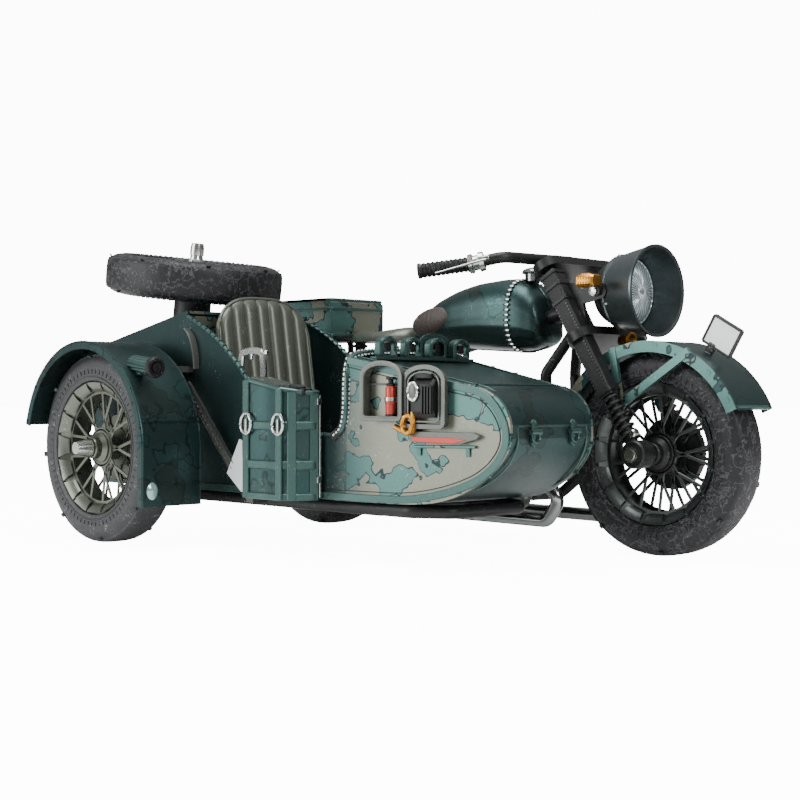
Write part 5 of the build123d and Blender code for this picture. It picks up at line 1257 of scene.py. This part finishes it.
strap = soften(np.array([(-29.6, -30.6, 42.8), (-27.6, -30.9, 41.4), (-26.4, -30.9, 38.4),
                         (-26.2, -30.7, 34.8)]), 2)
piece("tail_strap", [carry(strap, flat_outline(0.35, 1.7, 0.1), (0, 1, 0))], grey_sheet, "chassis")
print("marker lamp and strut ready")

# %% [markdown]
# Four small loops stand on a rail over the cowl. Each is an arched band with a dark block behind it,
# painted shade that fills its square opening, and a thin plate with a rounded outline stands behind the
# row.

# %% Cowl loops
LOOP_X, LOOP_PITCH = 20.4, 6.4
loop_z = COWL_BACK_Z - (LOOP_X - COCKPIT_FRONT) * (COWL_BACK_Z - COWL_NOSE_Z) / 27.0
loop_parts, opening_shade_blocks = [], []
small_arch = arch(4.0, 3.5, 48)
for place in range(4):
    y = CAR_Y + (place - 1.5) * LOOP_PITCH
    ring = np.column_stack([np.full(48, LOOP_X), y + small_arch[:, 0], loop_z + 2.3 + small_arch[:, 1]])
    loop_parts.append(carry(ring, flat_outline(0.55, 1.7, 0.15), (1, 0, 0), closed=True))
    ring = np.column_stack([np.full(48, LOOP_X + 0.75), y + small_arch[:, 0] * 0.86,
                            loop_z + 2.3 + small_arch[:, 1] * 0.86])
    loop_parts.append(carry(ring, flat_outline(0.45, 0.35, 0.15), (1, 0, 0), closed=True))
    loop_parts.append(block((LOOP_X + 0.1, y, loop_z + 2.0), (0.5, 1.9, 0.5)))
    loop_parts.append(block((LOOP_X + 0.4, y, loop_z + 4.15), (1.2, 1.2, 0.4)))
    # Painted shade: a black block sits in each loop's opening.
    opening_shade_blocks.append(block((LOOP_X, y + 0.2, loop_z + 2.5), (0.9, 1.4, 1.4)))
loop_parts.append(block((LOOP_X, CAR_Y, loop_z + 0.45), (1.8, 4 * LOOP_PITCH, 0.5)))
plate_loop = soften(np.array([(-4.2, -2.6), (4.2, -2.6), (4.2, 2.7), (-4.2, 2.7)]), 2, closed=True)
back_plate = np.stack([np.column_stack([np.full(len(plate_loop), LOOP_X - 1.6 + dx),
                                        CAR_Y + 4.4 + plate_loop[:, 0],
                                        loop_z + 2.6 + plate_loop[:, 1]]) for dx in (0, 0.35)])
loop_parts.append(skin(back_plate, wrap=True, fill_ends=True))
piece("cowl_loop_row", loop_parts, teal_sheet, "chassis", ["cowl_fittings"])
piece("cowl_loop_opening_shade", opening_shade_blocks, black_metal, "chassis", bevel=0.1)
print("cowl loops", len(opening_shade_blocks))

# %% [markdown]
# ## Motorcycle: fork
# Each fork leg is a crinkled black cover with two rows of rivets and folded bands, over a coil
# spring. The leg leans back, so everything on it is placed by its height along the leaning line.

# %% Fork covers, rivets and springs
RAKE = math.radians(31.0)
FORK_HALF = 8.2
leg_front = np.array([math.cos(RAKE), 0.0, math.sin(RAKE)])


def on_leg(height, hand, front=0.0, out=0.0):
    """A point beside a fork leg: by height over the ground, then forward of it and sideways."""
    height = np.asarray(height, float)
    base = np.stack([front_hub[0] - (height - front_hub[2]) * math.tan(RAKE),
                     np.full_like(height, BIKE_Y + hand * FORK_HALF), height], axis=-1)
    return base + front * leg_front + np.array([0, hand * out, 0])


cover_parts, band_parts, rivet_parts, spring_parts = [], [], [], []
for hand in (-1, 1):
    cover_line = on_leg(np.linspace(29.5, 53.0, 24), hand)
    square = np.array([(-1.55, -1.75), (1.55, -1.75), (1.85, -1.35), (1.85, 1.35), (1.55, 1.75),
                       (-1.55, 1.75), (-1.85, 1.35), (-1.85, -1.35)])
    taper = np.linspace(0.86, 1.0, 24)
    cover_parts.append(carry(cover_line, square, (0, 1, 0), taper))
    for height, grow in ((30.3, 1.02), (47.6, 1.07), (50.4, 1.1), (52.6, 1.1)):
        ends = on_leg(np.array([height - 0.35, height + 0.35]), hand)
        band_parts.append(carry(ends, square * grow, (0, 1, 0)))
    for front in (-1.25, 1.25):
        spots = on_leg(np.linspace(31.5, 46.5, 26), hand, front, 1.6)
        rivet_parts.append(copies_at(turned([(0, 0.17), (0.16, 0.12)], (0, 0, 0), (0, hand, 0), 8), spots))
    wind = np.linspace(0, 2 * math.pi * 7, 260)
    axis_line = on_leg(front_hub[2] + 2.6 + 7.6 * wind / wind[-1], hand)
    coil = axis_line + 1.55 * (np.cos(wind)[:, None] * leg_front
                               + np.sin(wind)[:, None] * np.array([0, 1.0, 0]))
    spring_parts.append(tube(coil, 0.34, 8))
    spring_parts.append(tube(on_leg(np.array([front_hub[2], 30.0]), hand), 1.2, 16))
    shoe = [(-2.2, 1.05), (-2.2, 2.3), (-1.9, 2.6), (1.5, 2.6), (1.8, 2.3), (1.8, 1.05)]
    spring_parts.append(turned(shoe, on_leg(np.array(front_hub[2]), hand), (0, hand, 0), 40, closed=True))
piece("fork_cover_sheets", cover_parts, crinkle_black, "steering", ["fork_covers"],
      bevel=0.1)
piece("fork_bands", band_parts, black_metal, "steering", bevel=0.08)
piece("fork_rivets", rivet_parts, wheel_dark, "steering")
piece("fork_coil_springs", spring_parts, black_metal, "steering", ["fork_springs"])
nuts = []
for hand in (-1, 1):
    end = front_hub + (0, hand * 10.1, 0)
    nuts.append(turned([(0, 1.6), (0.5, 1.6), (0.55, 1.0), (0.68, 0.9)], end, (0, hand, 0), 6))
    lug = on_leg(np.array([front_hub[2] + 3.0]), hand, 1.6, 0.6)[0]
    nuts.append(turned([(-0.6, 0.8), (0.7, 0.8), (0.9, 0.6)], lug, (0, hand, 0), 16))
piece("front_axle_nuts", nuts, bright_metal, "steering")
print("fork ready")

# %% [markdown]
# ## Headlight
# The headlight has a round bowl, a domed lens and a deep hood that widens forwards. The dome stands
# forward by one minus the radius share to a power, and a small wave of the angle flutes it. Thin
# pale rays on the flute crests are a painted highlight of the flutes, and two hoops lie on the dome.

# %% Bowl, lens and hood
bowl_low, bowl_high = corners("headlight_bowl")
LAMP_Z, LAMP_BACK, LAMP_STEP = (bowl_low[2] + bowl_high[2]) / 2, bowl_low[0], bowl_high[0] - 1.6
LAMP_FRONT = corners("headlight_hood")[1][0]
lamp_centre = np.array([0.0, BIKE_Y, LAMP_Z])
reach = np.linspace(0, 1, 20)
bowl_curve = np.stack([LAMP_BACK + (LAMP_STEP - LAMP_BACK) * reach,
                       0.08 + 6.32 * np.sqrt(1 - (1 - reach) ** 2.1)], axis=-1)
bowl_curve = np.vstack([bowl_curve, [(LAMP_STEP + 0.1, 6.6), (LAMP_STEP + 0.5, 6.6),
                                     (LAMP_STEP + 0.7, 6.3), (LAMP_STEP + 1.5, 5.5)]])
piece("headlight_bowl_shell", [turned(bowl_curve, lamp_centre, (1, 0, 0), 96)], black_metal,
      "steering", ["headlight_bowl"])
hood_curve = [(LAMP_STEP, 6.5), (LAMP_STEP, 7.15), (LAMP_STEP + 0.5, 7.3), (LAMP_STEP + 0.7, 7.1),
              (LAMP_STEP + 4.0, 7.85), (LAMP_FRONT - 0.5, 8.5), (LAMP_FRONT - 0.4, 8.68),
              (LAMP_FRONT, 8.68), (LAMP_FRONT, 8.2), (LAMP_FRONT - 0.5, 8.1), (LAMP_STEP + 4.0, 7.4),
              (LAMP_STEP + 2.6, 6.95), (LAMP_STEP + 1.8, 6.75), (LAMP_STEP + 1.6, 6.5)]
hood_metal = finish("hood sheet", shade(88, 96, 98), 0.85, 0.3, spots=0.1, bare=shade(130, 134, 132))
piece("headlight_hood_shell", [turned(hood_curve, lamp_centre, (1, 0, 0), 128, closed=True)],
      hood_metal, "steering", ["headlight_hood"])
hood_tabs = np.radians([20, 110, 200, 290])
tab_place = lamp_centre + np.stack([np.full(4, LAMP_STEP + 1.2), 7.25 * np.cos(hood_tabs),
                                    7.25 * np.sin(hood_tabs)], axis=-1)
piece("hood_tabs", [copies_at(block((0, 0, 0), (0.9, 0.5, 0.5)), tab_place)], hood_metal,
      "steering")
LENS_R, RAY_COUNT, HOOD_EDGE_R = 6.6, 36, 8.36
fan = np.linspace(0, 2 * math.pi, 216, endpoint=False)
share = np.linspace(1.0, 0.03, 26)[:, None]


def dome(share, raise_by=0.0):
    """How far forward the lens stands at a share of its radius: a flat-topped dome."""
    return LAMP_STEP + 2.0 + 2.3 * (1 - share ** 2.6) + raise_by


def hoop_line(x, radius, count):
    """A circle about the headlight's axis, at this distance forward."""
    turn = np.linspace(0, 2 * math.pi, count, endpoint=False)
    return np.stack([np.full(count, x), BIKE_Y + radius * np.cos(turn), LAMP_Z + radius * np.sin(turn)],
                    axis=-1)


lens_x = dome(share, 0.1 * np.cos(RAY_COUNT * fan)[None] * np.clip(share * 2, 0, 1))
lens_grid = np.stack([lens_x, BIKE_Y + LENS_R * share * np.cos(fan),
                      LAMP_Z + LENS_R * share * np.sin(fan)], axis=-1)
lens_back = lens_grid[:1].copy()
lens_back[..., 0] = LAMP_STEP + 1.7
lens_sheet = finish("fluted lens", shade(120, 134, 138), 0.35, 0.3, grain=0.1, spots=0.0)
piece("headlight_fluted_lens", [skin(np.concatenate([lens_back, lens_grid]), wrap=True, fill_ends=True)],
      lens_sheet, "steering", ["headlight_lens"])
# Painted highlight: thin pale rays lie on the flute crests to stand for the light they catch; the two hoops
# share their finish.
glint_rays_and_hoops = []
for turn in np.linspace(0, 2 * math.pi, RAY_COUNT, endpoint=False):
    ray_share = np.linspace(0.1, 0.93, 9)
    ray = np.stack([dome(ray_share, 0.12), BIKE_Y + LENS_R * ray_share * math.cos(turn),
                    LAMP_Z + LENS_R * ray_share * math.sin(turn)], axis=-1)
    glint_rays_and_hoops.append(tube(ray, 0.07, 6))
for share_at in (0.16, 0.95):
    glint_rays_and_hoops.append(tube(hoop_line(dome(share_at, 0.1), LENS_R * share_at, 60), 0.12, 6, closed=True))
piece("headlight_glint_rays", glint_rays_and_hoops, finish("pale painted glint", shade(206, 214, 216), 0.5, 0.3, spots=0.0), "steering")
rim_hoop = hoop_line(LAMP_FRONT - 0.25, HOOD_EDGE_R, 96)
piece("hood_rolled_rim", [tube(rim_hoop, 0.24, 8, closed=True)], grey_sheet, "steering")
print("headlight ready")

# %% [markdown]
# Two brass boxes with dark slits stand beside the headlight, and bolts hold its brackets. A plain
# plate with a dark frame stands on the fender, square to the fender's arc.

# %% Signal lamps, brackets' bolts and number plate
signal_low, signal_high = corners("signal_lamps")
SIGNAL_OUT, BOLT_OUT, PLATE_TURN = 11.3, 7.6, math.radians(60)
signal_x, signal_z = (signal_low[0] + signal_high[0]) / 2, (signal_low[2] + signal_high[2]) / 2
boxes, slits = [], []
for hand in (-1, 1):
    y = BIKE_Y + hand * SIGNAL_OUT
    stops = np.array([-1.9, -1.7, 1.3, 1.9])[:, None] * np.array([1.0, 0, 0]) + (signal_x, y, signal_z)
    boxes.append(carry(stops, flat_outline(3.4, 2.3, 0.2), (0, 0, 1), np.array([0.8, 1, 1, 0.8])))
    boxes.append(block((signal_x, y, signal_z + 1.15), (2.2, 2.4, 0.4)))
    marks = np.array([(signal_x - 1.2 + 0.6 * k, y, signal_z + dz)
                      for k in range(5) for dz in (0.45, -0.5)])
    slit = block((0, 0, 0), (0.26, 3.5, 0.5))
    slits.append(copies_at(slit, marks))
piece("signal_lamp_boxes", boxes, brass, "steering", ["signal_lamps"], bevel=0.1)
piece("signal_lamp_slits", slits, finish("dark brass", shade(120, 78, 30), 0.9, 0.4), "steering")
bolts = []
for hand in (-1, 1):
    bolt = np.array([signal_x - 1.5, BIKE_Y + hand * BOLT_OUT, LAMP_Z])
    bolts.append(turned([(0, 1.0), (0.5, 1.0), (0.6, 0.5), (0.75, 0.5), (0.8, 0.9), (0.95, 0.2)], bolt,
                        (0, hand, 0), 12))
piece("lamp_bolts", bolts, bright_metal, "steering")
horn = [(-1.6, 0.5), (-1.4, 1.0), (-0.6, 1.2), (0.5, 1.4), (1.0, 1.65), (1.2, 1.65), (1.2, 1.35),
        (0.7, 0.7), (0.6, 0.15)]
plate_reach = FRONT_FENDER_R + SHEET
plate_foot = front_hub + plate_reach * np.array([math.cos(PLATE_TURN), 0, math.sin(PLATE_TURN)])
plate_up = np.array([math.cos(PLATE_TURN), 0, math.sin(PLATE_TURN)])
plate_along = np.array([math.sin(PLATE_TURN), 0, -math.cos(PLATE_TURN)])
frame_line = soften(even(np.array([(-3.2, 1.4), (3.2, 1.4), (3.2, 6.6), (-3.2, 6.6), (-3.2, 1.4)], float),
                         41)[:-1], 1, closed=True)
frame_line = plate_foot + frame_line[:, :1] * plate_along + frame_line[:, 1:] * plate_up
plate_frame = [carry(frame_line, flat_outline(0.5, 0.8, 0.1), (0, 1, 0), closed=True),
               block(plate_foot - 1.0 * plate_along + 1.0 * plate_up, (1.5, 0.9, 2.2), plate_along,
                     plate_up)]
piece("plate_dark_frame", plate_frame, black_metal, "steering")
piece("brass_horn", [turned(horn, (front_hub[0] - 8.6, BIKE_Y, 40.1), (1, 0, 0), 40)], brass, "steering")
print("signal lamps", len(boxes) // 2)

# %% [markdown]
# ## Handlebar, grips and levers
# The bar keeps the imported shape. Rubber-like grips get rings, and a lever is a thin bright strip
# that swings out from a clamp.

# %% Grips and levers
grip_in, grip_out = np.array([front_hub[0] - 31.6, 19.0, 54.9]), np.array([front_hub[0] - 37.7, 27.0, 53.4])
bend = np.array([front_hub[0] - 26.4, 15.5, 56.2])
grip_parts, clamp_parts = [], []
for hand in (-1, 1):
    side_of = np.array([1.0, hand, 1.0])
    start, stop, corner = (p * side_of + (0, BIKE_Y, 0) for p in (grip_in, grip_out, bend))
    way = unit(stop - start)
    length = np.linalg.norm(stop - start)
    at = np.linspace(0, length, 60)
    ribs = 1.38 + 0.1 * np.cos(at * 2 * math.pi / 0.9)
    ribs[:3], ribs[-4:] = 1.55, 1.5
    grip_parts.append(turned(np.column_stack([at, ribs]), start, way, 32))
    clamp_way = unit(corner - start)
    clamp = [(-0.2, 1.2), (-0.2, 1.9), (0.5, 2.0), (0.8, 1.5), (1.7, 1.5), (1.9, 2.0), (2.8, 1.9),
             (2.9, 1.2)]
    clamp_parts.append(turned(clamp, start, clamp_way, 12))
    pivot = start + clamp_way * 2.4 + (1.3, 0, 0.2)
    tip = stop + (2.6, 0, -0.9)
    lever = even(soften([pivot, pivot + (1.5, hand * 1.4, 0.1), (pivot + tip) / 2 + (0.8, 0, 0.2),
                         tip + (pivot - tip) * 0.12], 3), 30)
    clamp_parts.append(carry(lever, flat_outline(0.8, 0.35), (0, 0, 1), np.linspace(1.1, 0.8, 30)))
    clamp_parts.append(block(start + clamp_way * 1.8 + (0.9, 0, 0.5), (2.6, 1.6, 1.0), clamp_way,
                             (0, 0, 1)))
piece("ribbed_grips", grip_parts, black_metal, "steering", ["grips"])
piece("bright_levers", clamp_parts, bright_metal, "steering", ["control_levers"])
print("grips and levers ready")

# %% [markdown]
# ## Fuel tank
# The tank is a teardrop. Each cross section is a rounded box, a superellipse, whose half width, top
# and bottom change along its length. Pressed crease lines run along its side, and its front edge is
# laced with small bright tabs.

# %% Tank
stations = np.array([-14.0, -13.6, -12.0, -9.0, -5.0, 0.0, 5.0, 10.0, 14.0, 17.0, 19.4, 21.2, 22.2, 22.4])
tops = np.array([42.0, 42.8, 44.9, 47.6, 49.9, 51.7, 52.8, 53.2, 53.15, 52.7, 51.0, 47.8, 43.6, 41.6])
lows = np.array([41.0, 40.8, 40.5, 40.2, 39.9, 39.5, 39.2, 38.9, 38.7, 38.6, 38.9, 39.5, 40.2, 40.8])
halves = np.array([1.0, 2.4, 4.1, 5.6, 6.5, 6.95, 7.0, 6.9, 6.6, 6.1, 5.4, 4.6, 3.4, 2.0])
tank_x = np.concatenate([np.linspace(-14.0, -12.0, 8), np.linspace(-11.5, 20.5, 60),
                         np.linspace(20.8, 22.4, 12)])
tank_top, tank_bottom = np.interp(tank_x, stations, tops), np.interp(tank_x, stations, lows)
smooth = np.ones(5) / 5
wide = np.convolve(np.pad(np.interp(tank_x, stations, halves), 2, "edge"), smooth, "valid")
tank_top = np.convolve(np.pad(tank_top, 2, "edge"), smooth, "valid")
ring_turn = np.linspace(0, 2 * math.pi, 88, endpoint=False)
cosine, sine = np.cos(ring_turn), np.sin(ring_turn)
half_tall, centre_z = (tank_top - tank_bottom) / 2, (tank_top + tank_bottom) / 2


def round_off(value, power):
    """A sine or cosine raised to a power with its sign kept, which squares a circle's corners."""
    return np.sign(value) * np.abs(value) ** power


def tank_point(grow=0.0):
    """The tank's skin: a superellipse across each station, with a soft crease low on each side."""
    y = round_off(cosine, 0.72)[None] * (wide + grow)[:, None]
    z = centre_z[:, None] + round_off(sine, 0.8)[None] * (half_tall + grow)[:, None]
    crease = 0.16 * np.exp(-((sine[None] + 0.25) / 0.05) ** 2)
    crease = crease - 0.12 * np.exp(-((sine[None] - 0.1) / 0.04) ** 2)
    y = y + crease * np.sign(cosine)[None] * (np.abs(cosine) > 0.5)[None]
    return np.stack([np.broadcast_to(tank_x[:, None], y.shape), BIKE_Y + y, z], axis=-1)


tank_skin = tank_point(-0.02)
piece("tank_shell", [skin(tank_skin, wrap=True, fill_ends=True)], dark_and_shaded_camo, "chassis",
      ["fuel_tank"])
tank_trim = []
seam = np.argmin(np.abs(tank_x - 15.5))
front_loop = tank_point(0.05)[seam]
tank_trim.append(carry(front_loop, flat_outline(0.3, 0.7), (1, 0, 0), closed=True))
ridge = tank_point(0.02)
for column in (22, 66):
    tank_trim.append(tube(ridge[6:-8, column % 88], 0.22, 8))
piece("tank_trim", tank_trim, teal_sheet, "chassis")
lace_loop = even(np.vstack([front_loop, front_loop[:1]]), 45)[:-1]
lace_out = unit((lace_loop - (15.5, BIKE_Y, 46.0)) * (0, 1, 1))
piece("tank_laces", [copies_at(block((0, 0, 0), (1.3, 0.5, 0.4)), lace_loop + 0.12 * lace_out)],
      polished, "chassis")
cap_low, cap_high = corners("tank_cap")
cap_centre = (cap_low + cap_high) / 2
cap_curve = [(-1.4, 1.9), (0.0, 1.95), (0.1, 2.5), (0.35, 2.58), (0.6, 2.5), (0.9, 2.3), (1.2, 1.7),
             (1.38, 0.9), (1.43, 0.1)]
piece("filler_cap", [turned(cap_curve, cap_centre, (0, 0, 1), 48)], polished, "chassis",
      ["tank_cap"])
pads = []
for hand in (-1, 1):
    u, v = np.meshgrid(np.linspace(0, 2 * math.pi, 56, endpoint=False), np.linspace(1, 0.04, 10),
                       indexing="xy")
    x = -5.0 + 5.5 * v * np.cos(u)
    z = 45.2 + 2.7 * v * np.sin(u) + 0.16 * (x + 5.0)
    pad_y = BIKE_Y + hand * (6.3 + 1.3 * np.sqrt(1 - v ** 2 * 0.99) + 0.06 * np.cos(x * 5))
    outer = np.stack([x, pad_y, z], axis=-1)
    base = outer[:1].copy()
    base[..., 1] = BIKE_Y + hand * 5.4
    pads.append(skin(np.concatenate([base, outer]), wrap=True, fill_ends=True))
piece("ribbed_knee_pads", pads, finish("brown black rubber", shade(60, 52, 48), 0.1, 0.55,
                                       relief=(1500.0, 1.0), bump=0.4),
      "chassis", ["knee_pads"])

# %% [markdown]
# The saddle is a pan whose outline narrows forwards. Its top is crowned and dips in the middle, and
# its rim is folded down, so it reads as pressed sheet with a rolled edge.

# %% Saddle and luggage box trim
saddle_low, saddle_high = corners("saddle")
along = np.linspace(0, 1, 60)
u = np.linspace(-1, 1, 61)
half_saddle = 7.2 * np.clip(np.sin(math.pi * (0.06 + 0.9 * along ** 0.8)), 0, 1) ** 0.5
half_saddle = np.minimum(half_saddle, (saddle_high[1] - saddle_low[1]) / 2)
x = saddle_high[0] - (saddle_high[0] - saddle_low[0]) * along
fall = 1.3 * np.abs(u)[None] ** 3 + 0.5 * np.cos((along - 0.6) * 5)[:, None] * (1 - u ** 2)[None]
z = saddle_high[2] - 0.6 - fall
edge = np.clip(1 - np.abs(u) ** 8, 0, 1)[None] * np.clip(1 - np.abs(2 * along - 1) ** 10, 0, 1)[:, None]
z = saddle_low[2] + (z - saddle_low[2]) * edge ** 0.35
top = np.stack([np.broadcast_to(x[:, None], z.shape), BIKE_Y + half_saddle[:, None] * u[None], z], axis=-1)
base = top.copy()
base[..., 2] = saddle_low[2]
piece("saddle_pan", [skin(np.concatenate([top, base[:, ::-1]], axis=1), wrap=True, fill_ends=True)],
      seat_sheet, "chassis",
      ["saddle"])
box_low, box_high = corners("luggage_box")
trim = []
for z, grow in ((box_high[2] - 2.4, 0.12), (box_low[2] + 0.5, 0.12), (box_high[2] - 0.35, -0.15)):
    loop = np.array([(box_low[0] - grow, box_low[1] - grow), (box_high[0] + grow, box_low[1] - grow),
                     (box_high[0] + grow, box_high[1] + grow), (box_low[0] - grow, box_high[1] + grow)])
    loop = soften(even(np.vstack([loop, loop[:1]]), 61)[:-1], 1, closed=True)
    ring = np.column_stack([loop, np.full(len(loop), z)])
    trim.append(carry(ring, flat_outline(0.3, 0.7), (0, 0, 1), closed=True))
piece("luggage_box_lips", trim, teal_sheet, "chassis")
print("saddle and luggage box ready")

# %% [markdown]
# The engine's sides get pressed covers: a stepped disc over the gears, a small one in front, and a
# ring of bolts at the foot of each cylinder.

# %% Engine covers
GEAR_COVER, DRIVE_COVER, BARREL = (-6.5, 18.0), (13.4, 27.0), (8.0, 20.5)
cover_parts, bolt_parts = [], []
bolt = [(0, 0.42), (0.45, 0.42), (0.55, 0.3), (0.6, 0.05)]
for hand in (-1, 1):
    face_y = BIKE_Y + hand * 3.25
    for (x, z), radius in ((GEAR_COVER, 4.2), (DRIVE_COVER, 2.3)):
        steps = [(-0.2, radius), (0.35, radius), (0.5, radius - 0.3), (0.5, radius - 1.0),
                 (0.75, radius - 1.2), (0.8, 0.1)]
        cover_parts.append(turned(steps, (x, face_y, z), (0, hand, 0), 56))
        for turn in np.linspace(0, 2 * math.pi, 6, endpoint=False):
            spot = (x + (radius - 0.6) * math.cos(turn), face_y + hand * 0.4,
                    z + (radius - 0.6) * math.sin(turn))
            bolt_parts.append(turned(bolt, spot, (0, hand, 0), 6))
    for turn in np.linspace(0.2, 0.2 + 2 * math.pi, 8, endpoint=False):
        spot = (BARREL[0] + 5.0 * math.cos(turn), BIKE_Y + hand * 4.85, BARREL[1] + 5.0 * math.sin(turn))
        bolt_parts.append(turned(bolt, spot, (0, hand, 0), 6))
    for z in (28.0, 29.2):
        cover_parts.append(block((5.0, face_y, z), (9.0, 0.8, 0.45)))
piece("engine_side_covers", cover_parts, grey_sheet, "chassis")
piece("engine_bolts", bolt_parts, bright_metal, "chassis")
print("engine bolts", len(bolt_parts))

# %% [markdown]
# ## Finishes of the nodes that stay
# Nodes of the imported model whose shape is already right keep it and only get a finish.

# %% Finishes on the frame's own nodes
def dress(material, *nodes):
    """Put a finish on nodes that are shown as they are."""
    for name in nodes:
        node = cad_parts[name]
        if not node.material_slots:
            node.data.materials.append(material)
        for holder in node.material_slots:
            holder.material = material


DRESSED = {
    camo: ("luggage_box", "tail_shell", "fender_stays"),
    beige_camo_and_shade: ("side_panels",),
    dark_and_shaded_camo: ("rear_fender", "body_wrap"),
    grey_sheet: ("engine_case", "sidecar_struts"),
    black_metal: ("main_frame", "sidecar_frame", "fork_yokes", "handlebar", "lamp_brackets", "cylinders",
                  "luggage_rack", "saddle_springs"),
    bright_metal: ("sidecar_axle", "front_axle", "rear_axle"),
    polished: ("exhausts",),
    white_plate: ("number_plate",),
}
for material, names in DRESSED.items():
    dress(material, *names)
shown = {name for name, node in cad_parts.items() if not node.hide_render}
print("nodes without a finish", sorted(shown - {name for names in DRESSED.values() for name in names}))

# %% [markdown]
# ## Floor, light and camera
# A plain pale floor carries the model. It glows strongly for the camera, so it looks white, and
# only a little for everything else.

# %% Floor
floor_mesh = bpy.data.meshes.new("floor")
span = np.linspace(-3.0, 3.0, 2)
floor_x, floor_y = np.meshgrid(span, span)
floor_points = np.stack([floor_x, floor_y, np.full_like(floor_x, -0.00002)], axis=-1).reshape(-1, 3)
floor_mesh.from_pydata(floor_points.tolist(), [], [(0, 1, 3, 2)])
floor = bpy.data.objects.new("floor", floor_mesh)
bpy.context.scene.collection.objects.link(floor)
paper = bpy.data.materials.new("pale floor")
paper.use_nodes = True
paper_shader = next(n for n in paper.node_tree.nodes if n.type == "BSDF_PRINCIPLED")
paper_shader.inputs["Roughness"].default_value = 0.7
paper_shader.inputs["Specular IOR Level"].default_value = 0.1
paper_noise = noise_node(paper.node_tree, None, 40.0, 3.0)
paper_tone = mix_colour(paper.node_tree, paper_noise.outputs["Fac"], (0.93, 0.93, 0.93, 1),
                        (0.9, 0.9, 0.9, 1))
wire(paper.node_tree, paper_tone, paper_shader.inputs["Base Color"])
paper_path = paper.node_tree.nodes.new("ShaderNodeLightPath")
paper_glow = math_node(paper.node_tree, "MULTIPLY_ADD", paper_path.outputs["Is Camera Ray"], 12.0, 0.1)
paper_shader.inputs["Emission Color"].default_value = (1, 1, 1, 1)
wire(paper.node_tree, paper_glow, paper_shader.inputs["Emission Strength"])
floor_mesh.materials.append(paper)
floor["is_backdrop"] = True
print("floor ready")

# %% [markdown]
# The world is brighter above and on one side, because satin metal only shows its colour when
# something wide and bright is mirrored in it. Camera rays see plain white instead. Three lamps add
# the highlights.

# %% World and lamps
world = bpy.data.worlds.new("studio")
bpy.context.scene.world = world
world.use_nodes = True
sky = world.node_tree.nodes["Background"]
sky_tree = world.node_tree
sky_way = sky_tree.nodes.new("ShaderNodeTexCoord")
sky_parts = sky_tree.nodes.new("ShaderNodeSeparateXYZ")
wire(sky_tree, sky_way.outputs["Generated"], sky_parts.inputs[0])
sky_rise = step_node(sky_tree, sky_parts.outputs["Z"], -0.1, 0.9)
sky_side = math_node(sky_tree, "ADD", math_node(sky_tree, "MULTIPLY", sky_parts.outputs["X"], -0.34),
                     math_node(sky_tree, "MULTIPLY", sky_parts.outputs["Y"], -0.94))
sky_card = math_node(sky_tree, "MULTIPLY", step_node(sky_tree, sky_side, 0.5, 1.0), 0.3)
sky_light = math_node(sky_tree, "ADD", math_node(sky_tree, "MULTIPLY_ADD", sky_rise, 0.5, 0.06), sky_card)
sky_path = sky_tree.nodes.new("ShaderNodeLightPath")
sky_seen = math_node(sky_tree, "MULTIPLY", sky_path.outputs["Is Camera Ray"], 12.0)
sky.inputs["Color"].default_value = (1.0, 1.0, 1.0, 1)
wire(sky_tree, math_node(sky_tree, "MAXIMUM", sky_light, sky_seen), sky.inputs["Strength"])


def lamp(name, place, target, size, watts):
    """A square area lamp at a place in metres, turned towards a target."""
    data = bpy.data.lights.new(name, "AREA")
    data.size, data.energy = size, watts
    light = bpy.data.objects.new(name, data)
    light.location = place
    aim = Vector(target) - Vector(place)
    light.rotation_euler = aim.to_track_quat("-Z", "Y").to_euler()
    bpy.context.scene.collection.objects.link(light)


lamp("top lamp", (0.05, -0.1, 0.6), (0, 0, 0.02), 0.4, 5.0)
lamp("left lamp", (-0.3, -0.62, 0.22), (0, 0, 0.03), 0.4, 3.5)
lamp("front lamp", (0.55, -0.1, 0.3), (0, 0, 0.03), 0.16, 1.6)
print("lamps ready")

# %% [markdown]
# The camera stands low and to the right of the nose, a little over the height of the wheels' hubs.
# Its small shift places the model in the picture without turning the camera.

# %% Camera
CAMERA_PLACE = (205.3, -205.5, 29.6)
CAMERA_TURN, CAMERA_DROP, CAMERA_ROLL = math.radians(45.914), math.radians(0.914), math.radians(0.18)
camera_data = bpy.data.cameras.new("camera")
camera_data.sensor_width = 36.0
camera_data.lens = 65.25
camera_data.shift_x, camera_data.shift_y = 0.0305, 0.0232
camera_data.clip_start, camera_data.clip_end = 0.005, 20.0
camera = bpy.data.objects.new("camera", camera_data)
camera.location = Vector(CAMERA_PLACE) * MM
gaze = Vector((-math.sin(CAMERA_TURN) * math.cos(CAMERA_DROP),
               math.cos(CAMERA_TURN) * math.cos(CAMERA_DROP), -math.sin(CAMERA_DROP)))
aimed = gaze.to_track_quat("-Z", "Y")
camera.rotation_euler = (aimed.to_matrix() @ Matrix.Rotation(CAMERA_ROLL, 3, "Z")).to_euler()
bpy.context.scene.collection.objects.link(camera)
bpy.context.scene.camera = camera
print("camera at", tuple(round(v, 3) for v in camera.location))

# %% Sizes and finish
box_low, box_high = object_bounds()
print("box", [round(v, 4) for v in box_high - box_low])
